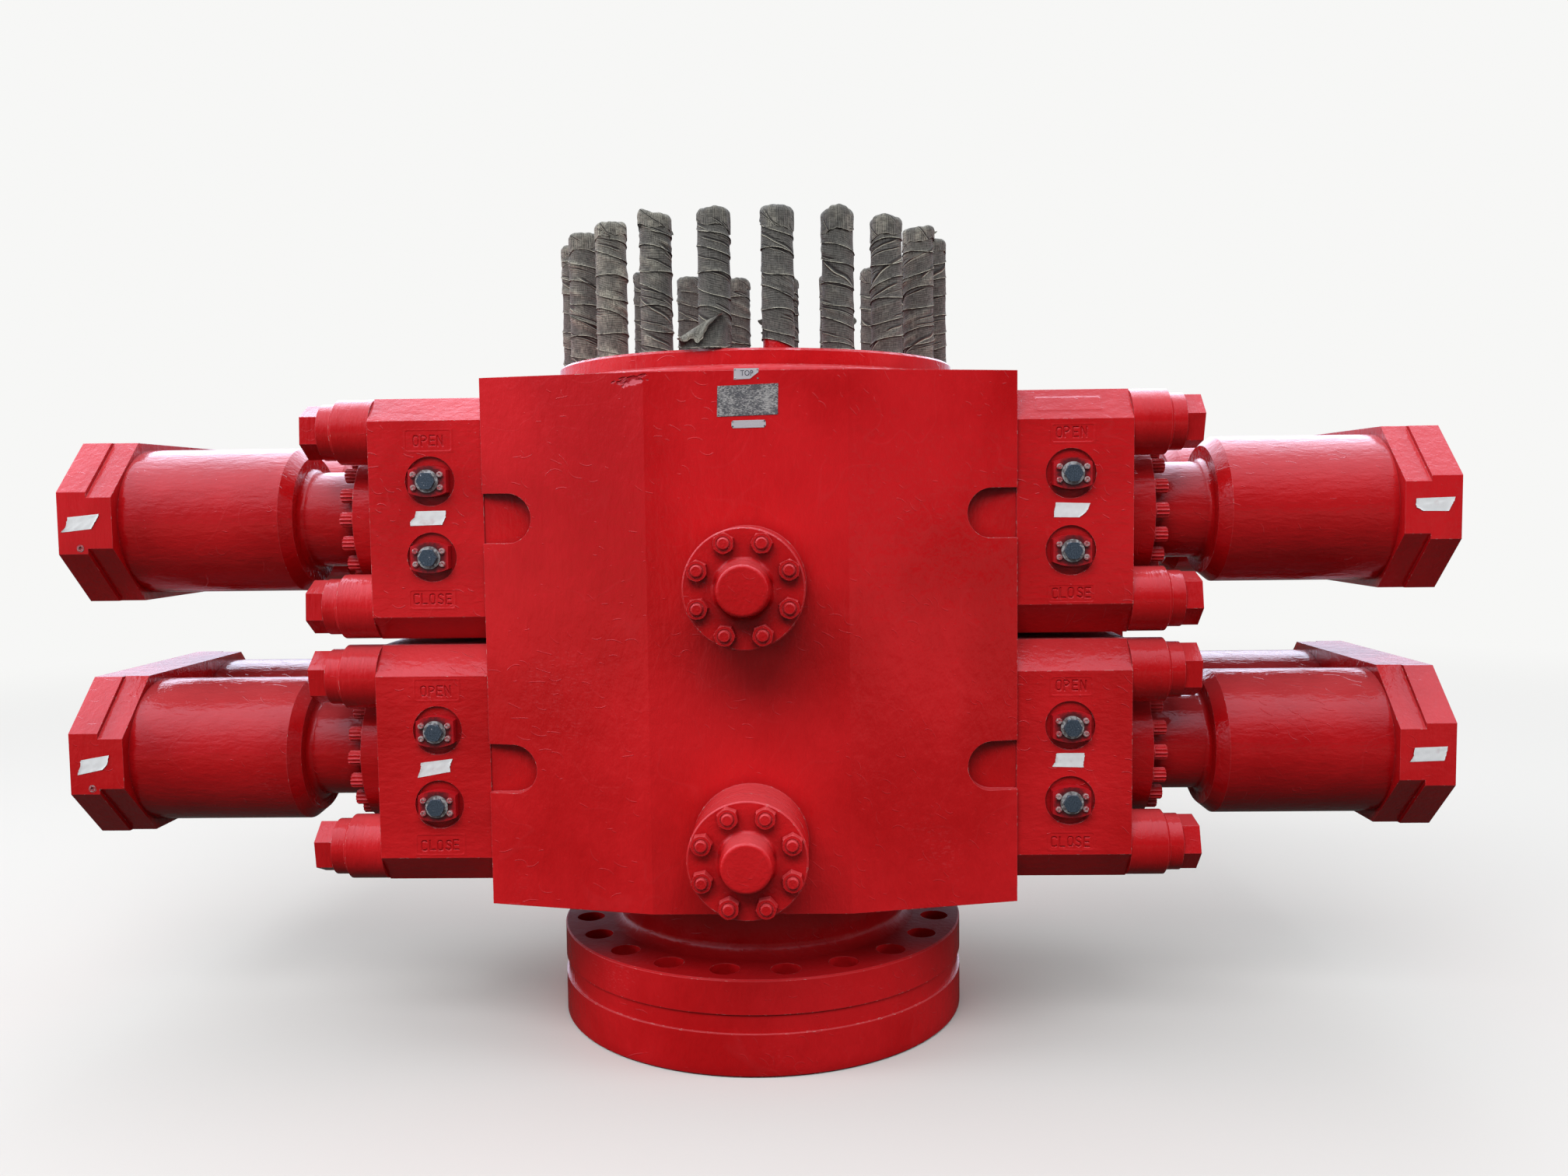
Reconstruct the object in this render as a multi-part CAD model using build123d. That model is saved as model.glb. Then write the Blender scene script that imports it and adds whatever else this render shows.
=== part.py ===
from build123d import *
import os
from math import cos, radians

# Double ram blowout preventer for an 18 3/4 inch, 15,000 psi stack.
# Millimetres. The origin is on the wellbore axis at the foot of the lower flange:
# X runs along the rams, from the left bonnets to the right ones, -Y is the front, +Z is up.

# Lower flange, to the standard sizes for this bore and pressure
bore_diameter = 476.2
flange_diameter = 1162.0
flange_thickness = 255.5
bolt_circle = 1016.0
bolt_count = 20
bolt_hole_diameter = 79.4
flange_edge_chamfer = 4.0
rim_groove_bottom = 113.0
rim_groove_height = 51.0
rim_groove_depth = 6.0
ring_groove_diameter = 578.0
ring_groove_width = 32.0
ring_groove_depth = 18.3
ring_groove_taper = 7.0

# Forged body: the neck above the flange, the block and the studded boss on top
neck_diameter = 824.0
neck_height = 182.0
neck_foot_fillet = 34.0
neck_head_fillet = 60.0
block_width = 1348.0
block_height = 1346.0
block_depth = 1230.0
block_side_depth = 1040.0
front_facet_width = 498.0
boss_diameter = 1120.0
boss_height = 61.0
boss_foot_fillet = 20.0
boss_edge_chamfer = 6.0

# Rams and the cavities that they slide in
ram_spacing = 639.0
cavity_width = 500.0
cavity_height = 220.0
cavity_corner = 90.0
ram_length = 380.0
ram_setback = 20.0
ram_bore_relief = 70.0
running_clearance = 0.3

# Shallow D-shaped slots that open to the side edges of the block
slot_height = 126.0
slot_reach = 128.0
slot_depth = 17.0

# Side outlets under each ram, closed by blind covers
outlet_below_ram = 166.0
outlet_bore_diameter = 77.8
outlet_diameter = 287.3
outlet_pad_height = 108.0
cover_thickness = 81.0
cover_edge_chamfer = 3.0
cover_seam_gap = 3.0
cover_seam_depth = 5.0
cover_hub_height = 62.0
cover_hub_diameter = 119.0
cover_hub_root_diameter = 138.0
cover_hub_edge_fillet = 9.0
cover_hub_root_fillet = 10.0

# Studs that stand in the boss, wrapped in sacking
stud_diameter = 76.2
stud_length = 343.0
stud_hole_depth = 110.0
stud_tip_chamfer = 5.0
wrap_thickness = 3.4
wrap_lift = 4.0

# Bonnets that close the ends of the ram cavities
bonnet_length = 293.0
bonnet_depth = 1015.4
bonnet_height = 621.8
bonnet_chamfer_depth = 67.4
bonnet_chamfer_heights = {
    "upper_left": 61.0,
    "lower_left": 74.0,
    "upper_right": 78.0,
    "lower_right": 74.0,
}
port_inset = 136.0
port_spacing = 193.0
port_recess_diameter = 126.0
port_recess_depth = 9.0

# Hydraulic port flanges with their hexagonal plugs
port_flange_width = 96.0
port_flange_side_height = 57.0
port_flange_middle_height = 79.0
port_flange_thickness = 33.0
port_collar_diameter = 58.0
port_collar_height = 4.0
plug_across_flats = 41.0
plug_height = 12.0
plug_edge_chamfer = 2.0

# Bonnet bolts: a round spacer, a washer ring and a hexagonal head on a shank
bonnet_bolt_margin = 3.7
bolt_spacer_diameter = 168.0
bolt_spacer_length = 104.0
bolt_spacer_chamfer = 8.0
bolt_ring_diameter = 146.0
bolt_ring_length = 34.0
bolt_head_length = 46.0
bolt_head_across_corners = 140.0
bolt_shank_diameter = 96.0
bolt_shank_grip = 120.0
bolt_turns = {
    "upper_left": (33, 34),
    "lower_left": (22, 22),
    "upper_right": (14, 42),
    "lower_right": (25, 48),
}

# Twin operating cylinders side by side on each bonnet
cylinder_spacing = 416.8
cylinder_length = 708.0
cylinder_flange_diameter = 392.0
cylinder_flange_thickness = 83.0
cylinder_neck_diameter = 260.0
cylinder_neck_length = 169.0
cylinder_neck_fillet = 14.0
barrel_diameter = 394.0
shoulder_chamfer_length = 30.0
shoulder_chamfer_height = 24.0

# Yoke plates that tie the outer ends of each pair of cylinders
yoke_thickness = 144.0
yoke_step_width = 66.0
yoke_depth = 866.0
yoke_height = 430.0
yoke_face_height = 163.0
yoke_top_depth = 592.0
yoke_step_depth = 14.5
yoke_plug_diameter = 20.0
yoke_plug_depth = 8.0
yoke_plug_drop = 66.0
yoke_plug_inset = 86.0

# Heights and radii that follow from the sizes above
block_bottom = flange_thickness + neck_height
block_top = block_bottom + block_height
boss_top = block_top + boss_height
block_middle = block_bottom + block_height / 2
ram_level = {"upper": block_middle + ram_spacing / 2, "lower": block_middle - ram_spacing / 2}
block_side = block_width / 2
block_front = block_depth / 2
bonnet_end = block_side + bonnet_length
cover_seat = block_front + outlet_pad_height
bonnet_bolt_height = (bonnet_height - bolt_spacer_diameter) / 2
bonnet_bolt_offset = (bonnet_depth - bolt_spacer_diameter) / 2 - bonnet_bolt_margin
cylinder_end = bonnet_end + cylinder_length
side_sign = {"left": -1, "right": 1}
face_sign = {"front": -1, "rear": 1}
half_pitch = 180 / bolt_count
half_hexagon = 30


def extruded(points, plane, length):
    """A prism: the outline of the points, drawn on a plane and pushed along its normal."""
    return extrude(plane * Polygon(*points, align=None), length, dir=plane.z_dir)


def turned(points):
    """A turned solid: a half profile of (radius, height) points, spun about the Z axis."""
    return revolve(Plane.XZ * make_face(Polyline(*points, close=True)), Axis.Z)


def standing_cylinder(diameter, height):
    """A cylinder that stands on the plane in which it is drawn."""
    return Cylinder(diameter / 2, height, align=(Align.CENTER, Align.CENTER, Align.MIN))


def ring_groove(height, down):
    """Tapered ring groove that opens at a height, upwards or downwards."""
    outer = ring_groove_diameter / 2
    inner = outer - ring_groove_width
    floor = height + ring_groove_depth * (1 if down else -1)
    return turned([
        (inner, height),
        (outer, height),
        (outer - ring_groove_taper, floor),
        (inner + ring_groove_taper, floor),
    ])


def on_bolt_circle(solid, height):
    """Copies of a solid, one at each place of the bolt circle, straddling the centre line."""
    return [
        Pos(0, 0, height) * Rot(0, 0, half_pitch * (2 * place + 1)) * Pos(bolt_circle / 2, 0, 0) * solid
        for place in range(bolt_count)
    ]


def block_outline():
    """Eight corners of the block seen from above: a wide middle facet, slanting side facets."""
    corner = front_facet_width / 2
    edge = block_side_depth / 2
    front = [(-block_side, -edge), (-corner, -block_front), (corner, -block_front), (block_side, -edge)]
    return front + [(-x, -y) for x, y in front]


def lower_flange_and_neck():
    """Flange with its rim groove and the neck that flares under the block, as one turned piece."""
    rim = flange_diameter / 2
    groove = rim - rim_groove_depth
    groove_top = rim_groove_bottom + rim_groove_height
    neck = neck_diameter / 2
    edge = flange_edge_chamfer
    foot = neck_foot_fillet
    head = neck_head_fillet
    neck_line = Line((neck, block_bottom - head), (neck, flange_thickness + foot))
    foot_arc = RadiusArc((neck, flange_thickness + foot), (neck + foot, flange_thickness), -foot)
    rim_line = Polyline(
        (neck + foot, flange_thickness), (rim - edge, flange_thickness), (rim, flange_thickness - edge),
        (rim, groove_top), (groove, groove_top), (groove, rim_groove_bottom), (rim, rim_groove_bottom),
        (rim, edge), (rim - edge, 0), (0, 0), (0, block_bottom + 1), (neck + head, block_bottom + 1),
        (neck + head, block_bottom))
    head_arc = RadiusArc((neck + head, block_bottom), (neck, block_bottom - head), -head)
    profile = make_face(neck_line + foot_arc + rim_line + head_arc)
    return revolve(Plane.XZ * profile, Axis.Z)


def top_boss():
    """Studded boss with a rounded foot and a broken top edge."""
    radius = boss_diameter / 2
    foot = boss_foot_fillet
    edge = boss_edge_chamfer
    foot_arc = RadiusArc((radius + foot, block_top), (radius, block_top + foot), -foot)
    rest = Polyline(
        (radius, block_top + foot), (radius, boss_top - edge), (radius - edge, boss_top), (0, boss_top),
        (0, block_top - 1), (radius + foot, block_top - 1), (radius + foot, block_top))
    return revolve(Plane.XZ * make_face(foot_arc + rest), Axis.Z)


def cavity_section(clearance):
    """Rounded cross-section of a ram, or of its cavity when a clearance is added all round."""
    return RectangleRounded(
        cavity_width + 2 * clearance, cavity_height + 2 * clearance, cavity_corner + clearance)


def side_slot(side, face, level):
    """Cutter for one D-shaped slot with an upright floor, open at the side edge."""
    radius = slot_height / 2
    middle = block_side - slot_reach + radius
    reach = block_side + 1
    floor = block_side_depth / 2 - slot_depth
    outline = Pos(middle, 0) * Circle(radius) + Pos((middle + reach) / 2, 0) * Rectangle(
        reach - middle, slot_height)
    cutter = extrude(Plane.XZ.offset(-floor) * outline, -block_front)
    if side < 0:
        cutter = mirror(cutter, Plane.YZ)
    if face < 0:
        cutter = mirror(cutter, Plane.XZ)
    return Pos(0, 0, level) * cutter


def make_body():
    """The forging: everything that is one piece of steel, with its bores and cavities cut through."""
    body = extruded(block_outline(), Plane.XY.offset(block_bottom), block_height)
    body += lower_flange_and_neck()
    body += top_boss()
    for level in ram_level.values():
        pads = Cylinder(outlet_diameter / 2, 2 * cover_seat)
        body += Pos(0, 0, level - outlet_below_ram) * Rot(90, 0, 0) * pads
    body -= Cylinder(bore_diameter / 2, 3 * boss_top)
    body -= ring_groove(0, down=True)
    body -= ring_groove(boss_top, down=False)
    flange_hole = standing_cylinder(bolt_hole_diameter, flange_thickness + 2)
    stud_hole = standing_cylinder(stud_diameter + 2 * running_clearance, stud_hole_depth + 1)
    body -= on_bolt_circle(flange_hole, -1)
    body -= on_bolt_circle(stud_hole, boss_top - stud_hole_depth)
    shank_hole = Cylinder(bolt_shank_diameter / 2 + running_clearance, 2 * bolt_shank_grip)
    for level in ram_level.values():
        tunnel = extrude(Plane.YZ * cavity_section(running_clearance), block_side + 1, both=True)
        body -= Pos(0, 0, level) * tunnel
        outlet = Cylinder(outlet_bore_diameter / 2, 2 * cover_seat + 2)
        body -= Pos(0, 0, level - outlet_below_ram) * Rot(90, 0, 0) * outlet
        for side in side_sign.values():
            for face in face_sign.values():
                body -= side_slot(side, face, level)
                for rise in (-bonnet_bolt_height, bonnet_bolt_height):
                    place = Pos(side * block_side, face * bonnet_bolt_offset, level + rise)
                    body -= place * Rot(0, 90, 0) * shank_hole
    return body


def make_ram(side, level):
    """Pipe ram, drawn back into its cavity, with a half-round mouth for the pipe."""
    front = bore_diameter / 2 + ram_setback
    block = Pos(front, 0, 0) * extrude(Plane.YZ * cavity_section(0), ram_length)
    block -= Pos(front, 0, 0) * Cylinder(ram_bore_relief, cavity_height + 2)
    block = Pos(0, 0, level) * block
    return block if side > 0 else mirror(block, Plane.YZ)


def make_studs():
    """Studs screwed into the boss, one solid each."""
    length = stud_hole_depth + stud_length
    stud = standing_cylinder(stud_diameter, length)
    stud = chamfer(stud.edges().sort_by(Axis.Z)[-1], stud_tip_chamfer)
    return Compound(children=on_bolt_circle(stud, boss_top - stud_hole_depth))


def make_wraps():
    """Sacking round each stud, closed over the top: plain caps that stand in for the cloth."""
    inner = stud_diameter + 2 * running_clearance
    reach = stud_length + running_clearance - wrap_lift
    sleeve = standing_cylinder(inner + 2 * wrap_thickness, reach + wrap_thickness)
    hollow = standing_cylinder(inner, reach)
    return Compound(children=on_bolt_circle(sleeve - hollow, boss_top + wrap_lift))


def make_cover(face, level):
    """Blind cover of one outlet, with a central hub that has a rounded edge and foot."""
    rim = outlet_diameter / 2
    seam = rim - cover_seam_depth
    hub = cover_hub_diameter / 2
    root = cover_hub_root_diameter / 2
    top = cover_thickness + cover_hub_height
    disc = turned([
        (0, 0), (seam, 0), (seam, cover_seam_gap), (rim, cover_seam_gap),
        (rim, cover_thickness - cover_edge_chamfer), (rim - cover_edge_chamfer, cover_thickness),
        (root, cover_thickness), (hub, top), (0, top),
    ])
    disc = fillet(disc.edges().sort_by(Axis.Z)[-1], cover_hub_edge_fillet)
    root_edge = disc.edges().filter_by(GeomType.CIRCLE).filter_by(lambda e: abs(e.radius - root) < 0.1)
    disc = fillet(root_edge, cover_hub_root_fillet)
    return Pos(0, face * cover_seat, level - outlet_below_ram) * Rot(-90 * face, 0, 0) * disc


def bonnet_section(chamfer_height):
    """Cross-section of a bonnet: a tall rectangle with a long bevel on each corner."""
    depth = bonnet_depth / 2
    height = bonnet_height / 2
    flat = depth - bonnet_chamfer_depth
    wall = height - chamfer_height
    quarter = [(flat, height), (depth, wall)]
    right = quarter + [(depth, -wall), (flat, -height)]
    return right + [(-x, -y) for x, y in right]


def make_bonnet(side, level, chamfer_height):
    """Bonnet block with bolt holes right through and two port recesses on each face."""
    bonnet = extruded(bonnet_section(chamfer_height), Plane.YZ.offset(block_side), bonnet_length)
    hole = Cylinder(bolt_shank_diameter / 2 + running_clearance, bonnet_length + 2)
    recess = Cylinder(port_recess_diameter / 2, 2 * port_recess_depth)
    for face in face_sign.values():
        for rise in (-bonnet_bolt_height, bonnet_bolt_height):
            place = Pos(block_side + bonnet_length / 2, face * bonnet_bolt_offset, rise)
            bonnet -= place * Rot(0, 90, 0) * hole
        for rise in (-port_spacing / 2, port_spacing / 2):
            place = Pos(block_side + port_inset, face * bonnet_depth / 2, rise)
            bonnet -= place * Rot(90, 0, 0) * recess
    bonnet = Pos(0, 0, level) * bonnet
    return bonnet if side > 0 else mirror(bonnet, Plane.YZ)


def port_flange_outline():
    """Port flange seen from the front: upright sides, top and bottom edges that bulge."""
    half = port_flange_width / 2
    side = port_flange_side_height / 2
    middle = port_flange_middle_height / 2
    top = ThreePointArc((-half, side), (0, middle), (half, side))
    bottom = ThreePointArc((half, -side), (0, -middle), (-half, -side))
    return make_face(top + Line((half, side), (half, -side)) + bottom + Line((-half, -side), (-half, side)))


def make_ports(side, level):
    """Port flanges of one bonnet, seated in its recesses, each with a hexagonal plug."""
    seat = bonnet_depth / 2 - port_recess_depth
    plate = extrude(port_flange_outline(), port_flange_thickness)
    plug_foot = port_flange_thickness + port_collar_height
    collar = standing_cylinder(port_collar_diameter, plug_foot)
    plug = extrude(RegularPolygon(plug_across_flats / 2, 6, major_radius=False), plug_height)
    cone_foot = plug_across_flats / 2 / cos(radians(half_hexagon))
    plug &= Cone(
        cone_foot + plug_height - plug_edge_chamfer, cone_foot - plug_edge_chamfer, plug_height,
        align=(Align.CENTER, Align.CENTER, Align.MIN))
    fitting = plate + collar + Pos(0, 0, plug_foot) * plug
    places = []
    for face in face_sign.values():
        for rise in (-port_spacing / 2, port_spacing / 2):
            place = Pos(side * (block_side + port_inset), face * seat, level + rise)
            places.append(place * Rot(-90 * face, 0, 0) * fitting)
    return Compound(children=places)


def make_bonnet_bolt(turn):
    """One bonnet bolt along +X from the bonnet's outer face, its head turned to a given angle."""
    spacer = bolt_spacer_diameter / 2
    ring = bolt_ring_diameter / 2
    shank = bolt_shank_diameter / 2
    ring_end = bolt_spacer_length + bolt_ring_length
    bolt = turned([
        (0, -bonnet_length - bolt_shank_grip), (shank, -bonnet_length - bolt_shank_grip), (shank, 0),
        (spacer, 0), (spacer, bolt_spacer_length - bolt_spacer_chamfer),
        (ring, bolt_spacer_length), (ring, ring_end), (0, ring_end),
    ])
    head = RegularPolygon(bolt_head_across_corners / 2, 6)
    bolt += Pos(0, 0, ring_end - 1) * Rot(0, 0, turn) * extrude(head, bolt_head_length + 1)
    return Rot(0, 90, 0) * bolt


def make_bonnet_bolts(side, level, turns):
    """The four bolts of one bonnet, two at the front and two at the rear, as separate solids."""
    bolts = []
    for face in face_sign.values():
        for rise, turn in zip((bonnet_bolt_height, -bonnet_bolt_height), turns):
            bolt = make_bonnet_bolt(face * turn + half_hexagon)
            bolt = Pos(bonnet_end, face * bonnet_bolt_offset, level + rise) * bolt
            bolts.append(bolt if side > 0 else mirror(bolt, Plane.YZ))
    return Compound(children=bolts)


def make_cylinder(side, face, level):
    """Operating cylinder: bolting flange, slim neck, bevelled shoulder and barrel, all turned."""
    flange = cylinder_flange_diameter / 2
    neck = cylinder_neck_diameter / 2
    barrel = barrel_diameter / 2
    flange_face = cylinder_flange_thickness
    shoulder = flange_face + cylinder_neck_length
    corner = cylinder_neck_fillet
    neck_line = Line((neck, shoulder - corner), (neck, flange_face + corner))
    lower_arc = RadiusArc((neck, flange_face + corner), (neck + corner, flange_face), -corner)
    rest = Polyline(
        (neck + corner, flange_face), (flange, flange_face), (flange, 0), (0, 0), (0, cylinder_length),
        (barrel, cylinder_length), (barrel, shoulder + shoulder_chamfer_length),
        (barrel - shoulder_chamfer_height, shoulder), (neck + corner, shoulder))
    upper_arc = RadiusArc((neck + corner, shoulder), (neck, shoulder - corner), -corner)
    cylinder = revolve(Plane.XZ * make_face(neck_line + lower_arc + rest + upper_arc), Axis.Z)
    cylinder = Pos(bonnet_end, face * cylinder_spacing / 2, level) * Rot(0, 90, 0) * cylinder
    return cylinder if side > 0 else mirror(cylinder, Plane.YZ)


def yoke_section(slope_drop):
    """Eight-sided outline of the yoke plate; slope_drop lowers its slanting faces only."""
    depth = yoke_depth / 2
    face = yoke_face_height / 2 - slope_drop
    height = yoke_height / 2
    slope = (yoke_height - yoke_face_height) / (yoke_depth - yoke_top_depth)
    top = yoke_top_depth / 2 - slope_drop / slope
    right = [(top, height), (depth, face), (depth, -face), (top, -height)]
    return right + [(-x, -y) for x, y in right]


def make_yoke(side, level):
    """Yoke plate with a step in its slanting faces and a socket plug low on one end face."""
    inner = extruded(yoke_section(yoke_step_depth), Plane.YZ.offset(cylinder_end), yoke_step_width + 1)
    outer_start = cylinder_end + yoke_step_width
    outer = extruded(yoke_section(0), Plane.YZ.offset(outer_start), yoke_thickness - yoke_step_width)
    yoke = inner + outer
    plug = Cylinder(yoke_plug_diameter / 2, 2 * yoke_plug_depth)
    place = Pos(cylinder_end + yoke_plug_inset, side * yoke_depth / 2, -yoke_plug_drop)
    yoke -= place * Rot(90, 0, 0) * plug
    yoke = Pos(0, 0, level) * yoke
    return yoke if side > 0 else mirror(yoke, Plane.YZ)


def make_parts():
    """Every node by name."""
    parts = {"preventer_body": make_body(), "top_studs": make_studs(), "stud_wraps": make_wraps()}
    for row, level in ram_level.items():
        for name, face in face_sign.items():
            parts[f"outlet_cover_{row}_{name}"] = make_cover(face, level)
        for name, side in side_sign.items():
            place = f"{row}_{name}"
            parts[f"ram_{place}"] = make_ram(side, level)
            parts[f"bonnet_{place}"] = make_bonnet(side, level, bonnet_chamfer_heights[place])
            parts[f"port_fittings_{place}"] = make_ports(side, level)
            parts[f"bonnet_bolts_{place}"] = make_bonnet_bolts(side, level, bolt_turns[place])
            for end, face in face_sign.items():
                parts[f"cylinder_{place}_{end}"] = make_cylinder(side, face, level)
            parts[f"end_yoke_{place}"] = make_yoke(side, level)
    return parts


os.makedirs("parts", exist_ok=True)
for node, solid in make_parts().items():
    export_step(solid, f"parts/{node}.step")
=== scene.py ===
from functools import reduce
from math import cos, pi, radians, sin

import bpy
import numpy as np
from mathutils import Matrix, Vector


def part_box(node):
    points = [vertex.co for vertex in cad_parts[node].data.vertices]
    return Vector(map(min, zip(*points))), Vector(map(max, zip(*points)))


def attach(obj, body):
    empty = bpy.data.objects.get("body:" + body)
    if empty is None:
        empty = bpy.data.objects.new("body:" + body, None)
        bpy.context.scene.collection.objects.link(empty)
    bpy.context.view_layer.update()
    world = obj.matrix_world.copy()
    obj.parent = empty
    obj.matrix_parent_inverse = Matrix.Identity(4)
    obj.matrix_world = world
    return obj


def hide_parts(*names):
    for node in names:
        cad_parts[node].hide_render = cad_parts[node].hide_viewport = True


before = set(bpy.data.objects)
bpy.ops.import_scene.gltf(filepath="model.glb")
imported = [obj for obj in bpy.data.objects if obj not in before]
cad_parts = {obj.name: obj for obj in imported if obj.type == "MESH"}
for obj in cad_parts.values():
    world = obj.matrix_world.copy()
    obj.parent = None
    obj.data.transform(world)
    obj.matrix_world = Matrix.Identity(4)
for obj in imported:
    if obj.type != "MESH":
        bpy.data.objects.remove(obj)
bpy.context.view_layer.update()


# The view. The camera stands about three metres in front of the preventer at chest
# height, a little right of the wellbore, and looks slightly down and to the left.
camera_place = (0.1647, -3.7136, 1.4643)
look_down = radians(3.9)
look_left = radians(1.4)
lean = radians(-0.7)
focal_pixels = 1629.4
image_width = 2016
sensor_width = 36.0
farthest_seen = 200

ahead = np.array([-sin(look_left) * cos(look_down), cos(look_left) * cos(look_down), -sin(look_down)])
level_right = np.array([cos(look_left), sin(look_left), 0.0])
level_up = np.cross(level_right, ahead)
right = level_right * cos(lean) + level_up * sin(lean)
up = level_up * cos(lean) - level_right * sin(lean)
lens = bpy.data.cameras.new("camera")
lens.sensor_fit = "HORIZONTAL"
lens.sensor_width = sensor_width
lens.lens = focal_pixels * sensor_width / image_width
lens.clip_end = farthest_seen
camera = bpy.data.objects.new("camera", lens)
turned = Matrix(np.column_stack([right, up, -ahead]).tolist()).to_4x4()
turned.translation = camera_place
camera.matrix_world = turned
bpy.context.scene.collection.objects.link(camera)
bpy.context.scene.camera = camera
bpy.context.scene.view_settings.view_transform = "Standard"


# The studio: an overcast sky over a pale level floor, which fades into a pale background. Soft
# lamps hang in front, behind and at both ends. Gloss mirrors a sky of its own, bright overhead
# and behind, dim in front and near the horizon, paler to the left than to the right.
sky_brightness = 0.95
horizon_brightness = 0.20
sky_tint = (0.95, 0.98, 1.0)
mirrored_behind = 3.6
mirrored_sky = 1.5
mirrored_left = 0.95
mirrored_front = 0.20
mirrored_low = 0.35
mirrored_right = 0.40
mirrored_tint = (0.84, 0.93, 1.16)
floor_radius = 60.0
floor_level = -0.001
floor_fades = (2.8, 11.0)
floor_colour = (0.70, 0.69, 0.68)
floor_bounce = (0.055, 0.053, 0.050)
floor_mirrored = 0.03
far_floor_mirrored = 0.16
far_floor_mirrored_aside = 0.42
background_colour = (0.93, 0.93, 0.92)
lamps = {
    "front_lamp": ((8.0, 4.0), 580, (-1.2, -7.0, 7.4), (48, 0, -9)),
    "rear_lamp": ((8.0, 4.0), 210, (1.2, 7.6, 6.4), (-55, 0, -9)),
    "left_lamp": ((4.5, 4.5), 520, (-11.0, -2.0, 3.8), (76, 0, -79)),
    "right_lamp": ((4.5, 4.5), 360, (11.0, -2.0, 3.8), (76, 0, 79)),
}


class Value:
    """A number that changes over a surface: one shader socket that takes part in arithmetic."""

    def __init__(self, finish, socket):
        self.finish = finish
        self.socket = socket

    def math(self, operation, *others):
        return self.finish.math(operation, self, *others)

    def __add__(self, other):
        return self.math("ADD", other)

    __radd__ = __add__

    def __sub__(self, other):
        return self.math("SUBTRACT", other)

    def __rsub__(self, other):
        return self.finish.math("SUBTRACT", other, self)

    def __mul__(self, other):
        return self.math("MULTIPLY", other)

    __rmul__ = __mul__

    def __abs__(self):
        return self.math("ABSOLUTE")


class Finish:
    """A material on the bench: add() makes every node, the other methods are the usual patterns."""

    def __init__(self, name, tree=None):
        if tree is None:
            self.material = bpy.data.materials.new(name)
            self.material.use_nodes = True
            tree = self.material.node_tree
        self.tree = tree
        self.tree.nodes.clear()

    def add(self, kind, settings=None, inputs=None, output=0):
        """One node of a kind, with its settings made first and its sockets then filled or linked.
        Gives back one output, or as many as are named."""
        node = self.tree.nodes.new(kind)
        for name, setting in (settings or {}).items():
            setattr(node, name, setting)
        for name, value in (inputs or {}).items():
            if isinstance(value, Value):
                self.tree.links.new(value.socket, node.inputs[name])
            else:
                node.inputs[name].default_value = value
        if isinstance(output, tuple):
            return [Value(self, node.outputs[name]) for name in output]
        return Value(self, node.outputs[output])

    def math(self, operation, *numbers):
        """Maths on one to three numbers."""
        return self.add("ShaderNodeMath", {"operation": operation}, dict(enumerate(numbers)))

    def place(self):
        """The point on the object, in metres."""
        return self.add("ShaderNodeTexCoord", output="Object")

    def split(self, vector):
        """The three parts of a vector."""
        return self.add("ShaderNodeSeparateXYZ", None, {0: vector}, output=("X", "Y", "Z"))

    def vector(self, operation, *vectors, output=0):
        """Vector maths on one to three vectors. The output is "Value" where a number comes out."""
        return self.add("ShaderNodeVectorMath", {"operation": operation}, dict(enumerate(vectors)), output)

    def rays(self):
        """Whether a ray comes from the camera or through glass, and whether it was mirrored."""
        camera, passed, mirrored = self.add(
            "ShaderNodeLightPath", output=("Is Camera Ray", "Is Transmission Ray", "Is Glossy Ray"))
        return camera + passed, mirrored

    def attribute(self, name):
        """A number kept in the mesh's points."""
        return self.add("ShaderNodeAttribute", {"attribute_name": name}, output="Fac")

    def noise(self, vector, cells, detail=2.0, distortion=0.0):
        """Soft noise from 0 to 1, with so many cells a metre: one number, or one for each axis."""
        return self.add("ShaderNodeTexNoise", None, {
            "Vector": self.vector("MULTIPLY", vector, np.broadcast_to(cells, 3).tolist()), "Scale": 1.0,
            "Detail": detail, "Distortion": distortion})

    def smooth(self, value, low, high, to_low=0.0, to_high=1.0):
        """A smooth step: to_low up to the value low, to_high from the value high."""
        return self.add("ShaderNodeMapRange", {"interpolation_type": "SMOOTHSTEP"}, {
            "Value": value, "From Min": low, "From Max": high, "To Min": to_low, "To Max": to_high})

    def mix(self, share, first, second):
        """Two colours, mixed by a share from 0 to 1."""
        first = first if isinstance(first, Value) else (*first, 1)
        second = second if isinstance(second, Value) else (*second, 1)
        return self.add("ShaderNodeMix", {"data_type": "RGBA"}, {0: share, 6: first, 7: second}, output=2)

    def bump(self, height, distance, normal=None):
        """A normal bent by relief: one unit of height stands a distance in metres high."""
        inputs = {"Height": height, "Distance": distance, "Strength": 1.0}
        if normal is not None:
            inputs["Normal"] = normal
        return self.add("ShaderNodeBump", None, inputs)

    def surface(self, **inputs):
        """The shader with its sockets by name, and the output; returns the material."""
        self.finish_with(self.add("ShaderNodeBsdfPrincipled", None, {
            name.replace("_", " "): value for name, value in inputs.items()}))
        return self.material

    def finish_with(self, shader, kind="ShaderNodeOutputMaterial"):
        """Joins a shader to the output."""
        self.tree.links.new(shader.socket, self.tree.nodes.new(kind).inputs[0])


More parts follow.
